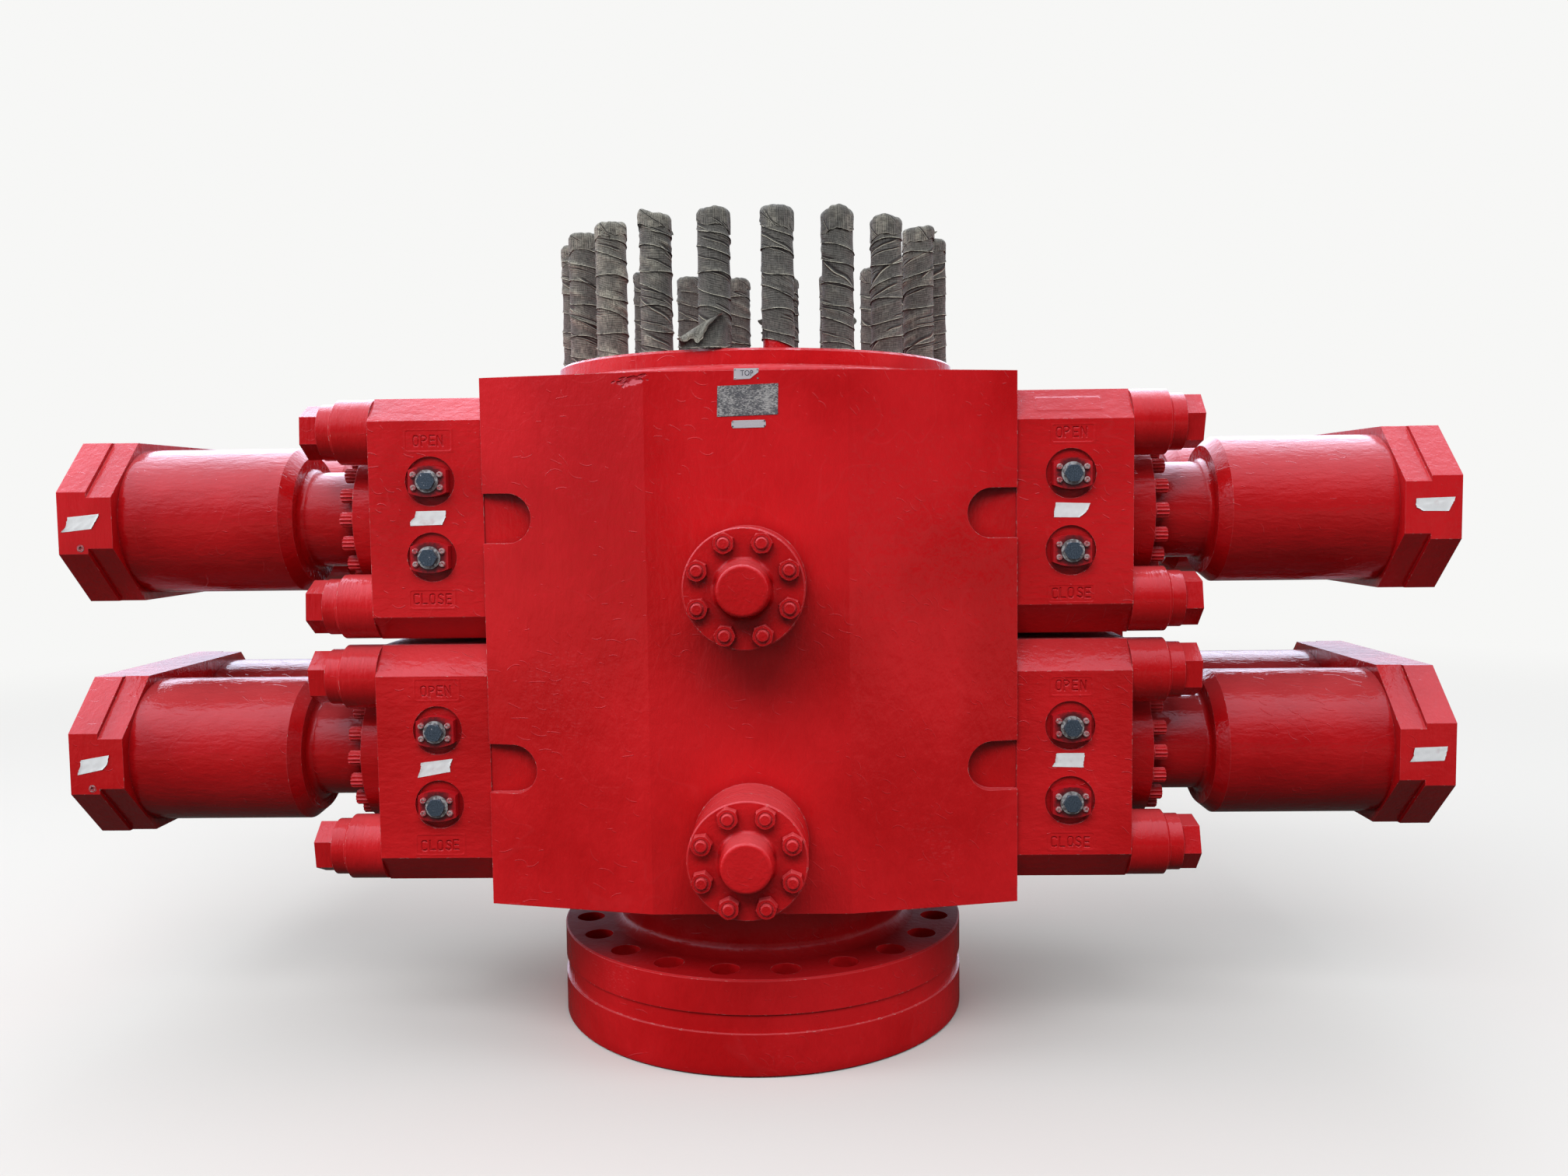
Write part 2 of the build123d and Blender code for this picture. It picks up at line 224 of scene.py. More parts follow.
world = bpy.data.worlds.new("sky")
bpy.context.scene.world = world
world.use_nodes = True
sky = Finish("sky", world.node_tree)
sideways, behind, height = sky.split(sky.add("ShaderNodeTexCoord", output="Generated"))
over = behind + height
brightness = sky.smooth(height, 0.15, 0.80, horizon_brightness, sky_brightness)
mirrored = sky.smooth(sideways, -0.60, -0.10, mirrored_left, mirrored_front) + sky.smooth(
    over, -0.75, 0.50, 0.0, mirrored_sky) + sky.smooth(over, 0.85, 1.40, 0.0, mirrored_behind)
mirrored = mirrored * sky.smooth(height, 0.05, 0.45, mirrored_low, 1.0) * sky.smooth(
    sideways, 0.42, 0.80, 1.0, mirrored_right)
seen, glossy = sky.rays()
lit = brightness * (1 - glossy) + mirrored * glossy
pale = sky.mix(seen, sky.mix(glossy, sky_tint, mirrored_tint), background_colour)
sky.finish_with(
    sky.add("ShaderNodeBackground", None, {"Color": pale, "Strength": seen + (1 - seen) * lit}),
    "ShaderNodeOutputWorld")


def lay_surface(points, close_across=False):
    """Corners and four-sided faces of a grid of points, joined along its rows and, if asked,
    from its last column back to its first."""
    rows, columns = points.shape[:2]
    number = np.arange(rows * columns).reshape(rows, columns)
    if close_across:
        number = np.concatenate([number, number[:, :1]], axis=1)
    faces = np.stack([number[:-1, :-1], number[:-1, 1:], number[1:, 1:], number[1:, :-1]], axis=-1)
    return points.reshape(-1, 3), faces.reshape(-1, 4)


def make_piece(name, corners, faces, material, sharp=35, body="root"):
    """A new piece that rides on a body, smooth apart from edges sharper than an angle."""
    mesh = bpy.data.meshes.new(name)
    mesh.from_pydata(np.asarray(corners).tolist(), [], [list(face) for face in faces])
    mesh.materials.append(material)
    mesh.shade_smooth()
    mesh.set_sharp_from_angle(angle=radians(sharp))
    mesh.validate()
    piece = bpy.data.objects.new(name, mesh)
    bpy.context.scene.collection.objects.link(piece)
    if body:
        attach(piece, body)
    return piece


around = np.linspace(0, 2 * pi, 97)[:-1]
reach = np.array([0.0, 2.5, 5.0, 8.0, 14.0, 25.0, floor_radius])
disc = np.stack([
    reach[:, None] * np.cos(around), reach[:, None] * np.sin(around),
    np.full((len(reach), len(around)), floor_level)], axis=-1)
ground = Finish("studio_floor")
spot = ground.place()
far = ground.smooth(ground.vector("LENGTH", spot, output="Value"), *floor_fades)
seen, glossy = ground.rays()
far_mirrored = ground.smooth(
    abs(ground.split(spot)[0]), 1.0, 4.5, far_floor_mirrored, far_floor_mirrored_aside)
matte = ground.add("ShaderNodeBsdfDiffuse", None, {
    "Color": ground.mix(seen + glossy * floor_mirrored, floor_bounce, floor_colour)})
glow = ground.add("ShaderNodeEmission", None, {
    "Color": (*background_colour, 1), "Strength": seen + glossy * far_mirrored})
ground.finish_with(ground.add("ShaderNodeMixShader", None, {0: far, 1: matte, 2: glow}))
studio_floor = make_piece("studio_floor", *lay_surface(disc, close_across=True), ground.material, body=None)

for name, (size, energy, place, turn) in lamps.items():
    lamp = bpy.data.lights.new(name, "AREA")
    lamp.shape = "RECTANGLE"
    lamp.size, lamp.size_y = size
    lamp.energy = energy
    hung = bpy.data.objects.new(name, lamp)
    hung.location = place
    hung.rotation_euler = [radians(angle) for angle in turn]
    hung.visible_glossy = False
    bpy.context.scene.collection.objects.link(hung)


# The forging: one block of steel with its neck, foot flange and studded boss. It is brushed
# with thick glossy enamel, which shows bristle marks, curled runs and chips at its corners.
body_marks = (13.0, 13.0, 5.5)
hair_cells = 23.0
hair_length = 0.44
hair_width = 0.040
# Pink of hairs, sweeps and scuffs, and of the painted highlight along edges.
scuff_and_highlight_pink = (0.80, 0.22, 0.25)
primer_colour = (0.58, 0.50, 0.49)
# Painted shade: the dark red laid into corners, recesses and grooves, and on the flange top under the block.
painted_shade_red = (0.25, 0.002, 0.004)
shade_reach = 0.055
# A paler pink-grey for patches on level tops.
level_top_pale = (0.64, 0.32, 0.36)
# Heights of the painted shadow on the foot flange's top under the block.
flange_shadow_from = (0.18, 0.25)
flange_shadow_to = (0.27, 0.45)
body_gouges = [(-0.281, 1.763, 0.036, 0.012)]
gouge_depth = 3.2
# Painted highlight on a gouge's lower part; gouge_shade is the painted shade on its upper part.
gouge_highlight = (0.74, 0.16, 0.20)
gouge_shade = (0.30, 0.006, 0.012)


def brush_hairs(paint, spot, crowd):
    """Short bowed strokes, one in a cell of a plane that leans across all three axes. A point's
    offset from its cell's middle is measured along a direction drawn for the cell, and beside a
    parabola bowed from it: a hair is where the first is short and the second next to nothing."""
    x, y, z = paint.split(spot)
    plane = paint.add("ShaderNodeCombineXYZ", None, {
        "X": (x + y * 0.8) * hair_cells, "Y": (z + y * 0.6) * hair_cells})
    cell_middle, drawn = paint.add("ShaderNodeTexVoronoi", {"voronoi_dimensions": "2D"}, {
        "Vector": plane, "Scale": 1.0}, output=("Position", "Color"))
    direction = paint.vector("NORMALIZE", paint.vector(
        "MULTIPLY_ADD", drawn, (1.0, 1.3, 0.0), (0.35, -1.15, 0.0)))
    offset = paint.vector("SUBTRACT", plane, cell_middle)
    along = paint.vector("DOT_PRODUCT", offset, direction, output="Value")
    side = paint.split(paint.vector("CROSS_PRODUCT", offset, direction))[2]
    beside = abs(side - along * along * (paint.split(drawn)[2] * 3.2 - 1.6))
    chosen = paint.smooth(paint.noise(cell_middle, 0.37, detail=1), 0.44, 0.60)
    return paint.smooth(beside, 0.0, hair_width, 1.0, 0.0) * paint.smooth(
        abs(along) - chosen * crowd * hair_length, -0.08, 0.04, 1.0, 0.0)


def enamel(name, marks, light=(0.62, 0.011, 0.015), dark=(0.48, 0.005, 0.007), curl=1.0, chips=0.60,
           rounding=0.0018, edge_highlight=0.30, gouges=(), sunk=0.0):
    """Red enamel. Tone = broad noise + bristle marks, deepened by painted shade in corners and
    recesses that ambient occlusion finds, paler in patches on level tops, and dull and dark with a
    painted shadow on the foot flange's top under the block. Relief in mm = bristle marks + fine
    lines + hairs + sweeps + sags + peel + grain, less gouges and what the sunk attribute takes;
    its grooves get painted shade too. A sweep is the faint crest where a noise passes its middle;
    scuffs are specks where two noises are high. Hairs, sweeps and scuffs are tinted pink. Edges
    look rounded by a radius and carry a painted pink highlight, with chips where a fine noise is
    high, and gouges are ovals with a ragged outline, with painted shade above and a painted
    highlight below."""
    paint = Finish(name)
    spot = paint.place()
    broad = paint.noise(spot, 2.2, detail=3)
    bristle = paint.noise(spot, marks, detail=5)
    line = paint.noise(spot, [5 * mark for mark in marks], detail=4, distortion=0.35)
    handled = paint.noise(spot, 3.5, detail=1)
    hair = brush_hairs(paint, spot, paint.smooth(handled, 0.42, 0.58, 0.15, 1.0))
    scuff = paint.smooth(handled, 0.60, 0.74) * paint.smooth(
        paint.noise(spot, (90, 90, 240), detail=4), 0.54, 0.68)
    crest = abs(paint.noise(spot, 5, detail=1, distortion=0.5) - 0.5)
    sweep = paint.smooth(crest, 0.0, 0.012, 1.0, 0.0) * paint.smooth(
        paint.noise(spot, 6, detail=1), 0.46, 0.60)
    sag = paint.noise(spot, 22, detail=2)
    peel = paint.noise(spot, 150, detail=1)
    grain = paint.noise(spot, 420, detail=2)

    rounded = paint.add("ShaderNodeBevel", {"samples": 4}, {"Radius": rounding})
    flat = paint.add("ShaderNodeNewGeometry", output="Normal")
    edge = paint.smooth(1 - paint.vector("DOT_PRODUCT", rounded, flat, output="Value"), 0.01, 0.10)
    chipped = edge * paint.smooth(paint.noise(spot, 70, detail=4), chips, chips + 0.02)
    x, _, z = paint.split(spot)
    upward = paint.split(rounded)[2]
    level = paint.smooth(upward, 0.30, 0.98)
    flange_top_shadow = level * paint.smooth(z, *flange_shadow_from) * paint.smooth(z, *flange_shadow_to, 1.0, 0.0)
    # Painted shade: the red deepens where ambient occlusion finds corners and recesses; upward faces are
    # spared.
    open_share = paint.add("ShaderNodeAmbientOcclusion", {"samples": 5}, {
        "Distance": shade_reach}, output="AO")
    dulled = paint.smooth(open_share, 0.10, 0.55, 0.55, 0.0)
    unshaded = paint.smooth(open_share.math("MAXIMUM", paint.smooth(upward, 0.10, 0.55)), 0.20, 0.86)

    tone = paint.smooth(broad * 0.78 + bristle * 0.12 + line * 0.10, 0.36, 0.64)
    red = paint.mix(unshaded, painted_shade_red, paint.mix(tone, dark, light))
    # Level tops turn paler in patches.
    red = paint.mix((level - flange_top_shadow) * (0.02 + broad * 0.24), red, level_top_pale)
    # Painted shadow: the flange top under the block is darkened toward the shade red.
    red = paint.mix(flange_top_shadow * 0.45, red, painted_shade_red)
    # Hairs, sweeps and scuffs tint the red pink, and edges get a painted pink highlight.
    red = paint.mix((hair * 0.05 + sweep * 0.02 + scuff * 0.10) * curl + edge * edge_highlight, red, scuff_and_highlight_pink)
    dent = 0.0
    if sunk:
        dent = paint.attribute("sunk")
        # Painted shade in the punched grooves and the panel's sunk floor.
        red = paint.mix(paint.smooth(dent, 0.6, 1.0) * 0.25, red, painted_shade_red)
        dent = dent * sunk
    for near_x, near_z, half_width, half_height in gouges:
        across = (x - near_x) * (1 / half_width)
        above = (z - near_z) * (1 / half_height) - across * 0.5
        ragged = paint.noise(spot, (55, 55, 90), detail=3) - 0.5
        torn = paint.smooth(across * across + above * above + ragged * 5.0, 0.5, 1.3, 1.0, 0.0)
        dent = dent + torn * gouge_depth
        # Painted shade on the gouge's upper part and a painted highlight on its lower part.
        red = paint.mix(torn * 0.75, red, paint.mix(
            paint.smooth(above + ragged * 4.0, -0.8, -0.1), gouge_highlight, gouge_shade))
    strokes = bristle * 1.1 + line * 1.5 + (hair * 0.70 + sweep * 0.16) * curl
    relief = strokes + sag * 1.4 + peel * 0.32 + grain * 0.05
    return paint.surface(
        Base_Color=paint.mix(chipped, red, primer_colour), Specular_IOR_Level=0.38,
        Roughness=0.07 + bristle * 0.08 + broad * 0.10 + chipped * 0.3 + dulled + flange_top_shadow * 0.45,
        Normal=paint.bump(relief - dent, 0.001, rounded))


def dress(material, *nodes):
    """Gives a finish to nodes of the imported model."""
    for node in nodes:
        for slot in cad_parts[node].material_slots:
            slot.material = material


dress(enamel("body_enamel", body_marks, curl=0.75, gouges=body_gouges), "preventer_body")


# Three thin metal plates on the front facet, held by drive screws: a nameplate left bare and
# weathered, a small blank strip, and the TOP mark, which has lost its lower right corner.
front_facet = -0.615
plate_thickness = 0.0012
nameplate_corners = [(-0.069, 1.672), (0.079, 1.676), (0.081, 1.751), (-0.067, 1.746)]
strip_corners = [
    (-0.031, 1.644), (0.045, 1.645), (0.0495, 1.650), (0.0495, 1.659), (0.046, 1.6635), (-0.030, 1.6625),
    (-0.034, 1.658), (-0.034, 1.649)]
top_mark_corners = [(-0.027, 1.761), (0.012, 1.7625), (0.033, 1.778), (0.034, 1.788), (-0.026, 1.788)]
top_word_size = (0.031, 0.0135)
top_word_centre = (0.005, 1.7765)
ink_thickness = 0.0006
bare_screw = (0.0315, 1.7635)
screw_places = [
    (-0.064, 1.743), (0.076, 1.747), (-0.066, 1.676), (0.078, 1.680), (-0.0235, 1.785), (0.031, 1.785),
    (-0.024, 1.7645), bare_screw, (-0.031, 1.6595), (0.0465, 1.6605), (-0.031, 1.648), (0.0465, 1.649)]


def slab(outline, height, thickness):
    """A flat plate on the front facet: its outline twice, joined by four-sided edges."""
    outline = np.asarray(outline)
    count = len(outline)
    front = np.column_stack([outline[:, 0], np.full(count, height - thickness), outline[:, 1]])
    back = front + (0, thickness, 0)
    step = np.arange(count)
    after = (step + 1) % count
    sides = np.column_stack([step, step + count, after + count, after])
    faces = [list(step), list(step[::-1] + count)] + sides.tolist()
    return np.concatenate([front, back]), faces


def weathered_plate(name, pale, dark, share):
    """Bare plate metal: mottled by noise in two sizes, with fine upright and level scratches."""
    metal = Finish(name)
    spot = metal.place()
    mottle = metal.noise(spot, (210, 210, 620), detail=4)
    clouds = metal.noise(spot, 26, detail=3)
    scratch = metal.noise(spot, (60, 60, 1500), detail=2)
    stain = metal.smooth(mottle * 0.6 + clouds * 0.4, share - 0.08, share + 0.08)
    return metal.surface(
        Base_Color=metal.mix(stain, pale, dark), Metallic=metal.smooth(stain, 0, 1, 0.55, 0.2),
        Roughness=0.42 + stain * 0.25, Normal=metal.bump(mottle * 0.6 + scratch * 0.4, 0.0004))


nameplate_metal = weathered_plate("nameplate_metal", (0.62, 0.60, 0.57), (0.10, 0.10, 0.11), 0.47)
pale_plate_metal = weathered_plate("pale_plate_metal", (0.78, 0.74, 0.76), (0.52, 0.46, 0.49), 0.62)
for name, corners, metal in (
        ("nameplate", nameplate_corners, nameplate_metal),
        ("blank_strip", strip_corners, pale_plate_metal),
        ("top_mark", top_mark_corners, pale_plate_metal)):
    plate = make_piece(name, *slab(corners, front_facet, plate_thickness), metal, sharp=20)


def lathe(profile, angles, shape=None):
    """A turned piece about Z: a profile of (radius, height) points, carried round the angles.
    shape gives, for each profile point and angle, a factor on the radius. Ends are closed."""
    profile = np.asarray(profile, float)
    radius = profile[:, :1] * (np.ones(len(angles)) if shape is None else shape)
    rings = np.stack([
        radius * np.cos(angles), radius * np.sin(angles),
        np.broadcast_to(profile[:, 1:], radius.shape)], axis=-1)
    corners, faces = lay_surface(rings, close_across=True)
    count = len(angles)
    faces = faces.tolist()
    faces.append(list(range(count))[::-1])
    faces.append(list(range(len(corners) - count, len(corners))))
    return corners, faces


def repeat(corners, faces, matrices):
    """Copies of a mesh, one for each matrix, joined into one list of corners and faces."""
    matrices = np.asarray([np.asarray(matrix) for matrix in matrices])
    moved = np.einsum("kij,nj->kni", matrices[:, :3, :3], corners) + matrices[:, None, :3, 3]
    joined = [
        [number + copy * len(corners) for number in face]
        for copy in range(len(matrices)) for face in faces]
    return moved.reshape(-1, 3), joined


def facing(place, out, turn=0.0):
    """A matrix that stands a piece at a place with its own Z along out, turned about it."""
    out = np.asarray(out, float)
    side = np.cross((0, 0, 1), out) if abs(out[2]) < 0.9 else np.array([1.0, 0, 0])
    side /= np.linalg.norm(side)
    over = np.cross(out, side)
    first = side * cos(turn) + over * sin(turn)
    second = over * cos(turn) - side * sin(turn)
    matrix = np.eye(4)
    matrix[:3, :3] = np.column_stack([first, second, out])
    matrix[:3, 3] = place
    return matrix


def turns_of(count):
    """So many angles, evenly round a circle."""
    return np.linspace(0, 2 * pi, count + 1)[:-1]


drive_screw = lathe([(0.0022, 0), (0.0022, 0.0006), (0.0015, 0.0012), (0.0003, 0.0014)], turns_of(12))
screws = make_piece("plate_screws", *repeat(*drive_screw, [
    facing((place[0], front_facet - plate_thickness * (place != bare_screw), place[1]), (0, -1, 0))
    for place in screw_places]), nameplate_metal)


def letters(text, width, height, centre, out, relief):
    """Printed letters as a mesh: typed, scaled to a width and a height, stood up on a face at
    centre. Returns their corners and faces, with the letters' own Z along out."""
    curve = bpy.data.curves.new(text, "FONT")
    curve.body = text
    curve.extrude = relief
    curve.resolution_u = 3
    typed = bpy.data.objects.new(text, curve)
    bpy.context.scene.collection.objects.link(typed)
    mesh = bpy.data.meshes.new_from_object(typed.evaluated_get(bpy.context.evaluated_depsgraph_get()))
    corners = np.empty(len(mesh.vertices) * 3)
    mesh.vertices.foreach_get("co", corners)
    corners = corners.reshape(-1, 3)
    faces = [list(polygon.vertices) for polygon in mesh.polygons]
    bpy.data.objects.remove(typed)
    low, high = corners.min(0), corners.max(0)
    corners = (corners - (low + high) / 2) / (high - low) * (width, height, relief * 2)
    upright = facing(centre, out)
    side = np.array([-out[1], out[0], 0.0])
    upright[:3, :3] = np.column_stack([side, (0, 0, 1), out])
    return repeat(corners, faces, [upright])


ink = Finish("letter_ink")
ink_patch = ink.noise(ink.place(), 300, detail=3)
letter_ink = ink.surface(
    Base_Color=ink.mix(ink.smooth(ink_patch, 0.45, 0.7), (0.03, 0.03, 0.05), (0.22, 0.20, 0.24)),
    Roughness=0.5 + ink_patch * 0.2, Normal=ink.bump(ink_patch, 0.0002))
top_word_place = (top_word_centre[0], front_facet - plate_thickness, top_word_centre[1])
make_piece("top_word", *letters("TOP", *top_word_size, top_word_place, (0, -1, 0), ink_thickness), letter_ink)


# Blind covers of the four side outlets: forged discs with a central hub, each held by eight
# studs with hexagonal nuts, all brushed over with the same enamel.
cover_face = 0.804
cover_bolt_circle = 0.1151
nut_across_flats = 0.046
nut_height = 0.025
stud_end_radius = 0.0138
stud_end_height = 0.0335
stud_end_edge = 0.0024
thread_sink = 0.0014


def middle(node, axis):
    """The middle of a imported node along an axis, 0 for X to 2 for Z, to a thousandth of a mm."""
    low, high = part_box(node)
    return round((low[axis] + high[axis]) / 2, 6)


ram_levels = {row: middle(f"end_yoke_{row}_right", 2) for row in ("upper", "lower")}
outlet_below_ram = ram_levels["upper"] - middle("outlet_cover_upper_front", 2)
cover_paint = enamel("cover_enamel", (18, 18, 18), curl=0.6, chips=0.59, edge_highlight=0.5)
dress(cover_paint, *[f"outlet_cover_{row}_{face}" for row in ram_levels for face in ("front", "rear")])


def hexagon(angles):
    """Distance to a hexagon's side, for each angle, where a corner's distance is 1."""
    return cos(pi / 6) / np.cos((angles + pi / 6) % (pi / 3) - pi / 6)


def nut_and_stud(across_flats, height, end_radius, end_height):
    """Hexagonal nut with a chamfered top and a countersunk thread, round a chamfered stud end:
    profile rings from the seat up, the lower ones hexagonal and the upper ones round."""
    angles = turns_of(24)
    corner = across_flats / 2 / cos(pi / 6)
    hex_shape = hexagon(angles)
    round_shape = np.ones_like(angles)
    lid = 0.89
    profile = [
        (corner, 0), (corner, height * 0.84), (corner * lid, height), (end_radius * 1.26, height),
        (end_radius * 1.14, height - thread_sink), (end_radius, height - thread_sink),
        (end_radius, end_height - stud_end_edge), (end_radius - stud_end_edge, end_height),
        (end_radius * 0.1, end_height)]
    shape = np.array([hex_shape, hex_shape, np.minimum(hex_shape, lid) / lid] + [round_shape] * 6)
    return lathe(profile, angles, shape)


cover_nut = nut_and_stud(nut_across_flats, nut_height, stud_end_radius, stud_end_height)
nut_centres = [
    (cover_bolt_circle * cos(angle), front * cover_face,
     level - outlet_below_ram + cover_bolt_circle * sin(angle))
    for level in ram_levels.values() for front in (-1, 1) for angle in turns_of(8) + pi / 8]
nut_turns = np.random.default_rng(4).uniform(0, pi / 3, len(nut_centres))
nut_places = [
    facing(centre, (0, np.sign(centre[1]), 0), turn) for centre, turn in zip(nut_centres, nut_turns)]
nut_paint = enamel("nut_enamel", (40, 40, 40), curl=0.3, chips=0.66, rounding=0.0009, edge_highlight=0.7)
cover_nuts = make_piece("cover_nuts", *repeat(*cover_nut, nut_places), nut_paint, sharp=28)


# Bonnets: forged end covers of the ram cavities. Each face that carries the ports has the words
# OPEN and CLOSE punched into it letter by letter inside a shallow sunk panel, all painted over.
# One has a small plate under the paint of its top bevel. Masking tape is stuck on by hand.
bonnet_marks = (7.0, 7.0, 15.0)
open_above_ram = 0.1985
close_below_ram = 0.204
letter_pitch = 0.0207
letter_size = (0.0125, 0.0243)
letter_slips = (0.0005, 0.0006, 0.03)
word_inset = 0.811
groove_width = 0.0062
groove_cut = 0.00032
groove_bump = 2.1
panel_step = 0.0034
panel_depth = 0.40
panel_corner = 0.006
panel_margin = 0.005
bead_height = 0.00045
covered_plate_centre = (0.809, -0.4740, 1.7019)
covered_plate_bevel = (0.0, 0.0674, 0.0780)
covered_plate_size = (0.164, 0.046)
paint_lift = 0.00025
# Each word's panel: how far aside and above the word it lies, its width and its height.
panels = {
    ("upper", -1, "OPEN"): (0.000, 0.0005, 0.116, 0.051),
    ("upper", -1, "CLOSE"): (-0.001, 0.000, 0.113, 0.044),
    ("upper", 1, "OPEN"): (0.004, -0.002, 0.104, 0.042),
    ("upper", 1, "CLOSE"): (0.000, -0.002, 0.112, 0.041),
    ("lower", -1, "OPEN"): (0.002, 0.003, 0.112, 0.052),
    ("lower", -1, "CLOSE"): (0.000, 0.002, 0.122, 0.050),
    ("lower", 1, "OPEN"): (0.002, -0.001, 0.102, 0.044),
    ("lower", 1, "CLOSE"): (0.003, 0.002, 0.112, 0.042),
}


def far_side(node, axis):
    """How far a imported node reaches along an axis, to a thousandth of a millimetre."""
    return round(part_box(node)[1][axis], 6)


bonnet_face = far_side("bonnet_upper_right", 1)
dress(enamel("bonnet_enamel", bonnet_marks, curl=1.1, chips=0.585), *[
    f"bonnet_{row}_{side}" for row in ram_levels for side in ("left", "right")])


def oblong(first, last, power=0.62, count=25):
    """Part of a rounded oblong in the unit box: cosine and sine of the angle, each to a power."""
    turn = np.radians(np.linspace(first, last, count))
    plain = np.column_stack([np.cos(turn), np.sin(turn)])
    return np.sign(plain) * np.abs(plain) ** power / 2


def curve_through(points, count):
    """Points on a smooth curve through the given ones: Catmull and Rom's cubic."""
    points = np.asarray(points, float)
    padded = np.vstack([2 * points[0] - points[1], points, 2 * points[-1] - points[-2]])
    step = np.linspace(0, len(points) - 1, count)
    first = np.minimum(step.astype(int), len(points) - 2)
    share = (step - first)[:, None]
    before, start, end, after = (padded[first + number] for number in range(4))
    return 0.5 * (
        2 * start + (end - before) * share + (2 * before - 5 * start + 4 * end - after) * share ** 2
        + (3 * start - before - 3 * end + after) * share ** 3)


letter_strokes = {
    "O": [oblong(-90, 270)],
    "P": [[(-0.5, -0.5), (-0.5, 0.5)],
          curve_through([(-0.5, 0.5), (0.1, 0.5), (0.5, 0.27), (0.1, 0.02), (-0.5, 0.0)], 13)],
    "E": [[(0.5, 0.5), (-0.5, 0.5), (-0.5, -0.5), (0.5, -0.5)], [(-0.5, 0), (0.35, 0)]],
    "N": [[(-0.5, -0.5), (-0.5, 0.5)], [(-0.5, 0.5), (0.5, -0.5)], [(0.5, -0.5), (0.5, 0.5)]],
    "C": [oblong(38, 322, power=0.45)],
    "L": [[(-0.5, 0.5), (-0.5, -0.5), (0.5, -0.5)]],
    "S": [curve_through([(0.48, 0.36), (0.1, 0.5), (-0.4, 0.38), (-0.3, 0.08), (0.3, -0.08), (0.45, -0.36),
                         (0, -0.5), (-0.5, -0.38)], 19)],
}


def distance_to(path, points):
    """How far points of the plane are from a path: the least distance to any of its parts, each
    from the nearest point between the part's ends."""
    path = np.asarray(path, float)
    start, step = path[:-1], np.diff(path, axis=0)
    share = np.clip(((points[..., None, :] - start) * step).sum(-1) / (step ** 2).sum(-1), 0, 1)
    return np.linalg.norm(points[..., None, :] - start - share[..., None] * step, axis=-1).min(axis=-1)


def punched_panel(word, aside, above, width, height, rng=None):
    """A grid of points over a word's panel, and how deep each lies in parts of a groove's depth:
    a raised cosine across each groove, and a step along the panel's edge, a rectangle with round
    corners."""
    across = np.linspace(-width / 2 - panel_margin, width / 2 + panel_margin, 109) + aside
    upward = np.linspace(-height / 2 - panel_margin, height / 2 + panel_margin, 51) + above
    points = np.stack(np.meshgrid(across, upward, indexing="ij"), axis=-1)
    nearest = np.full(points.shape[:2], groove_width)
    for place, letter in enumerate(word):
        slip, rise, turn = rng.normal(0, 1, 3) * letter_slips
        letter_centre = ((place - (len(word) - 1) / 2) * letter_pitch + slip, rise)
        turned = np.array([[cos(turn), sin(turn)], [-sin(turn), cos(turn)]])
        for stroke in letter_strokes[letter]:
            path = (np.asarray(stroke) * letter_size) @ turned + letter_centre
            nearest = np.minimum(nearest, distance_to(path, points))
    groove = (1 + np.cos(np.clip(2 * nearest / groove_width, 0, 1) * pi)) / 2
    past = np.abs(points - (aside, above)) - (width / 2 - panel_corner, height / 2 - panel_corner)
    outside = np.linalg.norm(np.clip(past, 0, None), axis=-1) - panel_corner
    step = np.clip(0.5 - outside / panel_step, 0, 1)
    return points, groove + step * step * (3 - 2 * step) * panel_depth


def lay_panel(flat, depth, centre, across, upward):
    """A panel's grid at a centre, along two directions: it rises from the face to a low bead
    round the panel, and is cut in by its depths. The enamel bends as if it were cut deeper by
    groove_bump, in mm, because it can't be cut into the forging. Returns corners, faces, depths."""
    to_edge = np.minimum(flat - flat.min((0, 1)), flat.max((0, 1)) - flat).min(axis=-1)
    lift = paint_lift + bead_height * np.clip(to_edge / panel_margin, 0, 1) - groove_cut * depth
    directions = [across, upward, np.cross(across, upward)]
    laid = centre + np.concatenate([flat, lift[..., None]], axis=-1) @ directions
    return *lay_surface(laid[::-1]), depth[::-1].ravel()


def join(blocks):
    """Blocks of corners and faces, one after another as one mesh."""
    starts = np.cumsum([0] + [len(corners) for corners, _ in blocks])
    return (
        np.concatenate([corners for corners, _ in blocks]),
        np.concatenate([faces + start for (_, faces), start in zip(blocks, starts)]))


def keep(mesh, name, values):
    """Keeps a number in each of a mesh's points."""
    mesh.attributes.new(name, "FLOAT", "POINT").data.foreach_set("value", values.astype(np.float32))


laid_panels = []
for number, ((row, side, word), (aside, above, width, height)) in enumerate(panels.items()):
    level = ram_levels[row] + (open_above_ram if word == "OPEN" else -close_below_ram)
    panel = punched_panel(word, aside, above, width, height, np.random.default_rng(number))
    for front in (-1, 1):
        centre = (side * word_inset, front * bonnet_face, level)
        laid_panels.append(lay_panel(*panel, centre, (-front, 0.0, 0.0), (0.0, 0.0, 1.0)))
bevel = np.array(covered_plate_bevel) / np.linalg.norm(covered_plate_bevel)
flat, depth = punched_panel("", 0.0, 0.0, *covered_plate_size)
laid_panels.append(lay_panel(flat, -depth, covered_plate_centre, (1.0, 0.0, 0.0), bevel))
words = make_piece(
    "punched_words", *join([(corners, faces) for corners, faces, _ in laid_panels]),
    enamel("word_enamel", bonnet_marks, curl=1.1, chips=0.8, sunk=groove_bump), sharp=180)
keep(words.data, "sunk", np.concatenate([depths for *_, depths in laid_panels]))

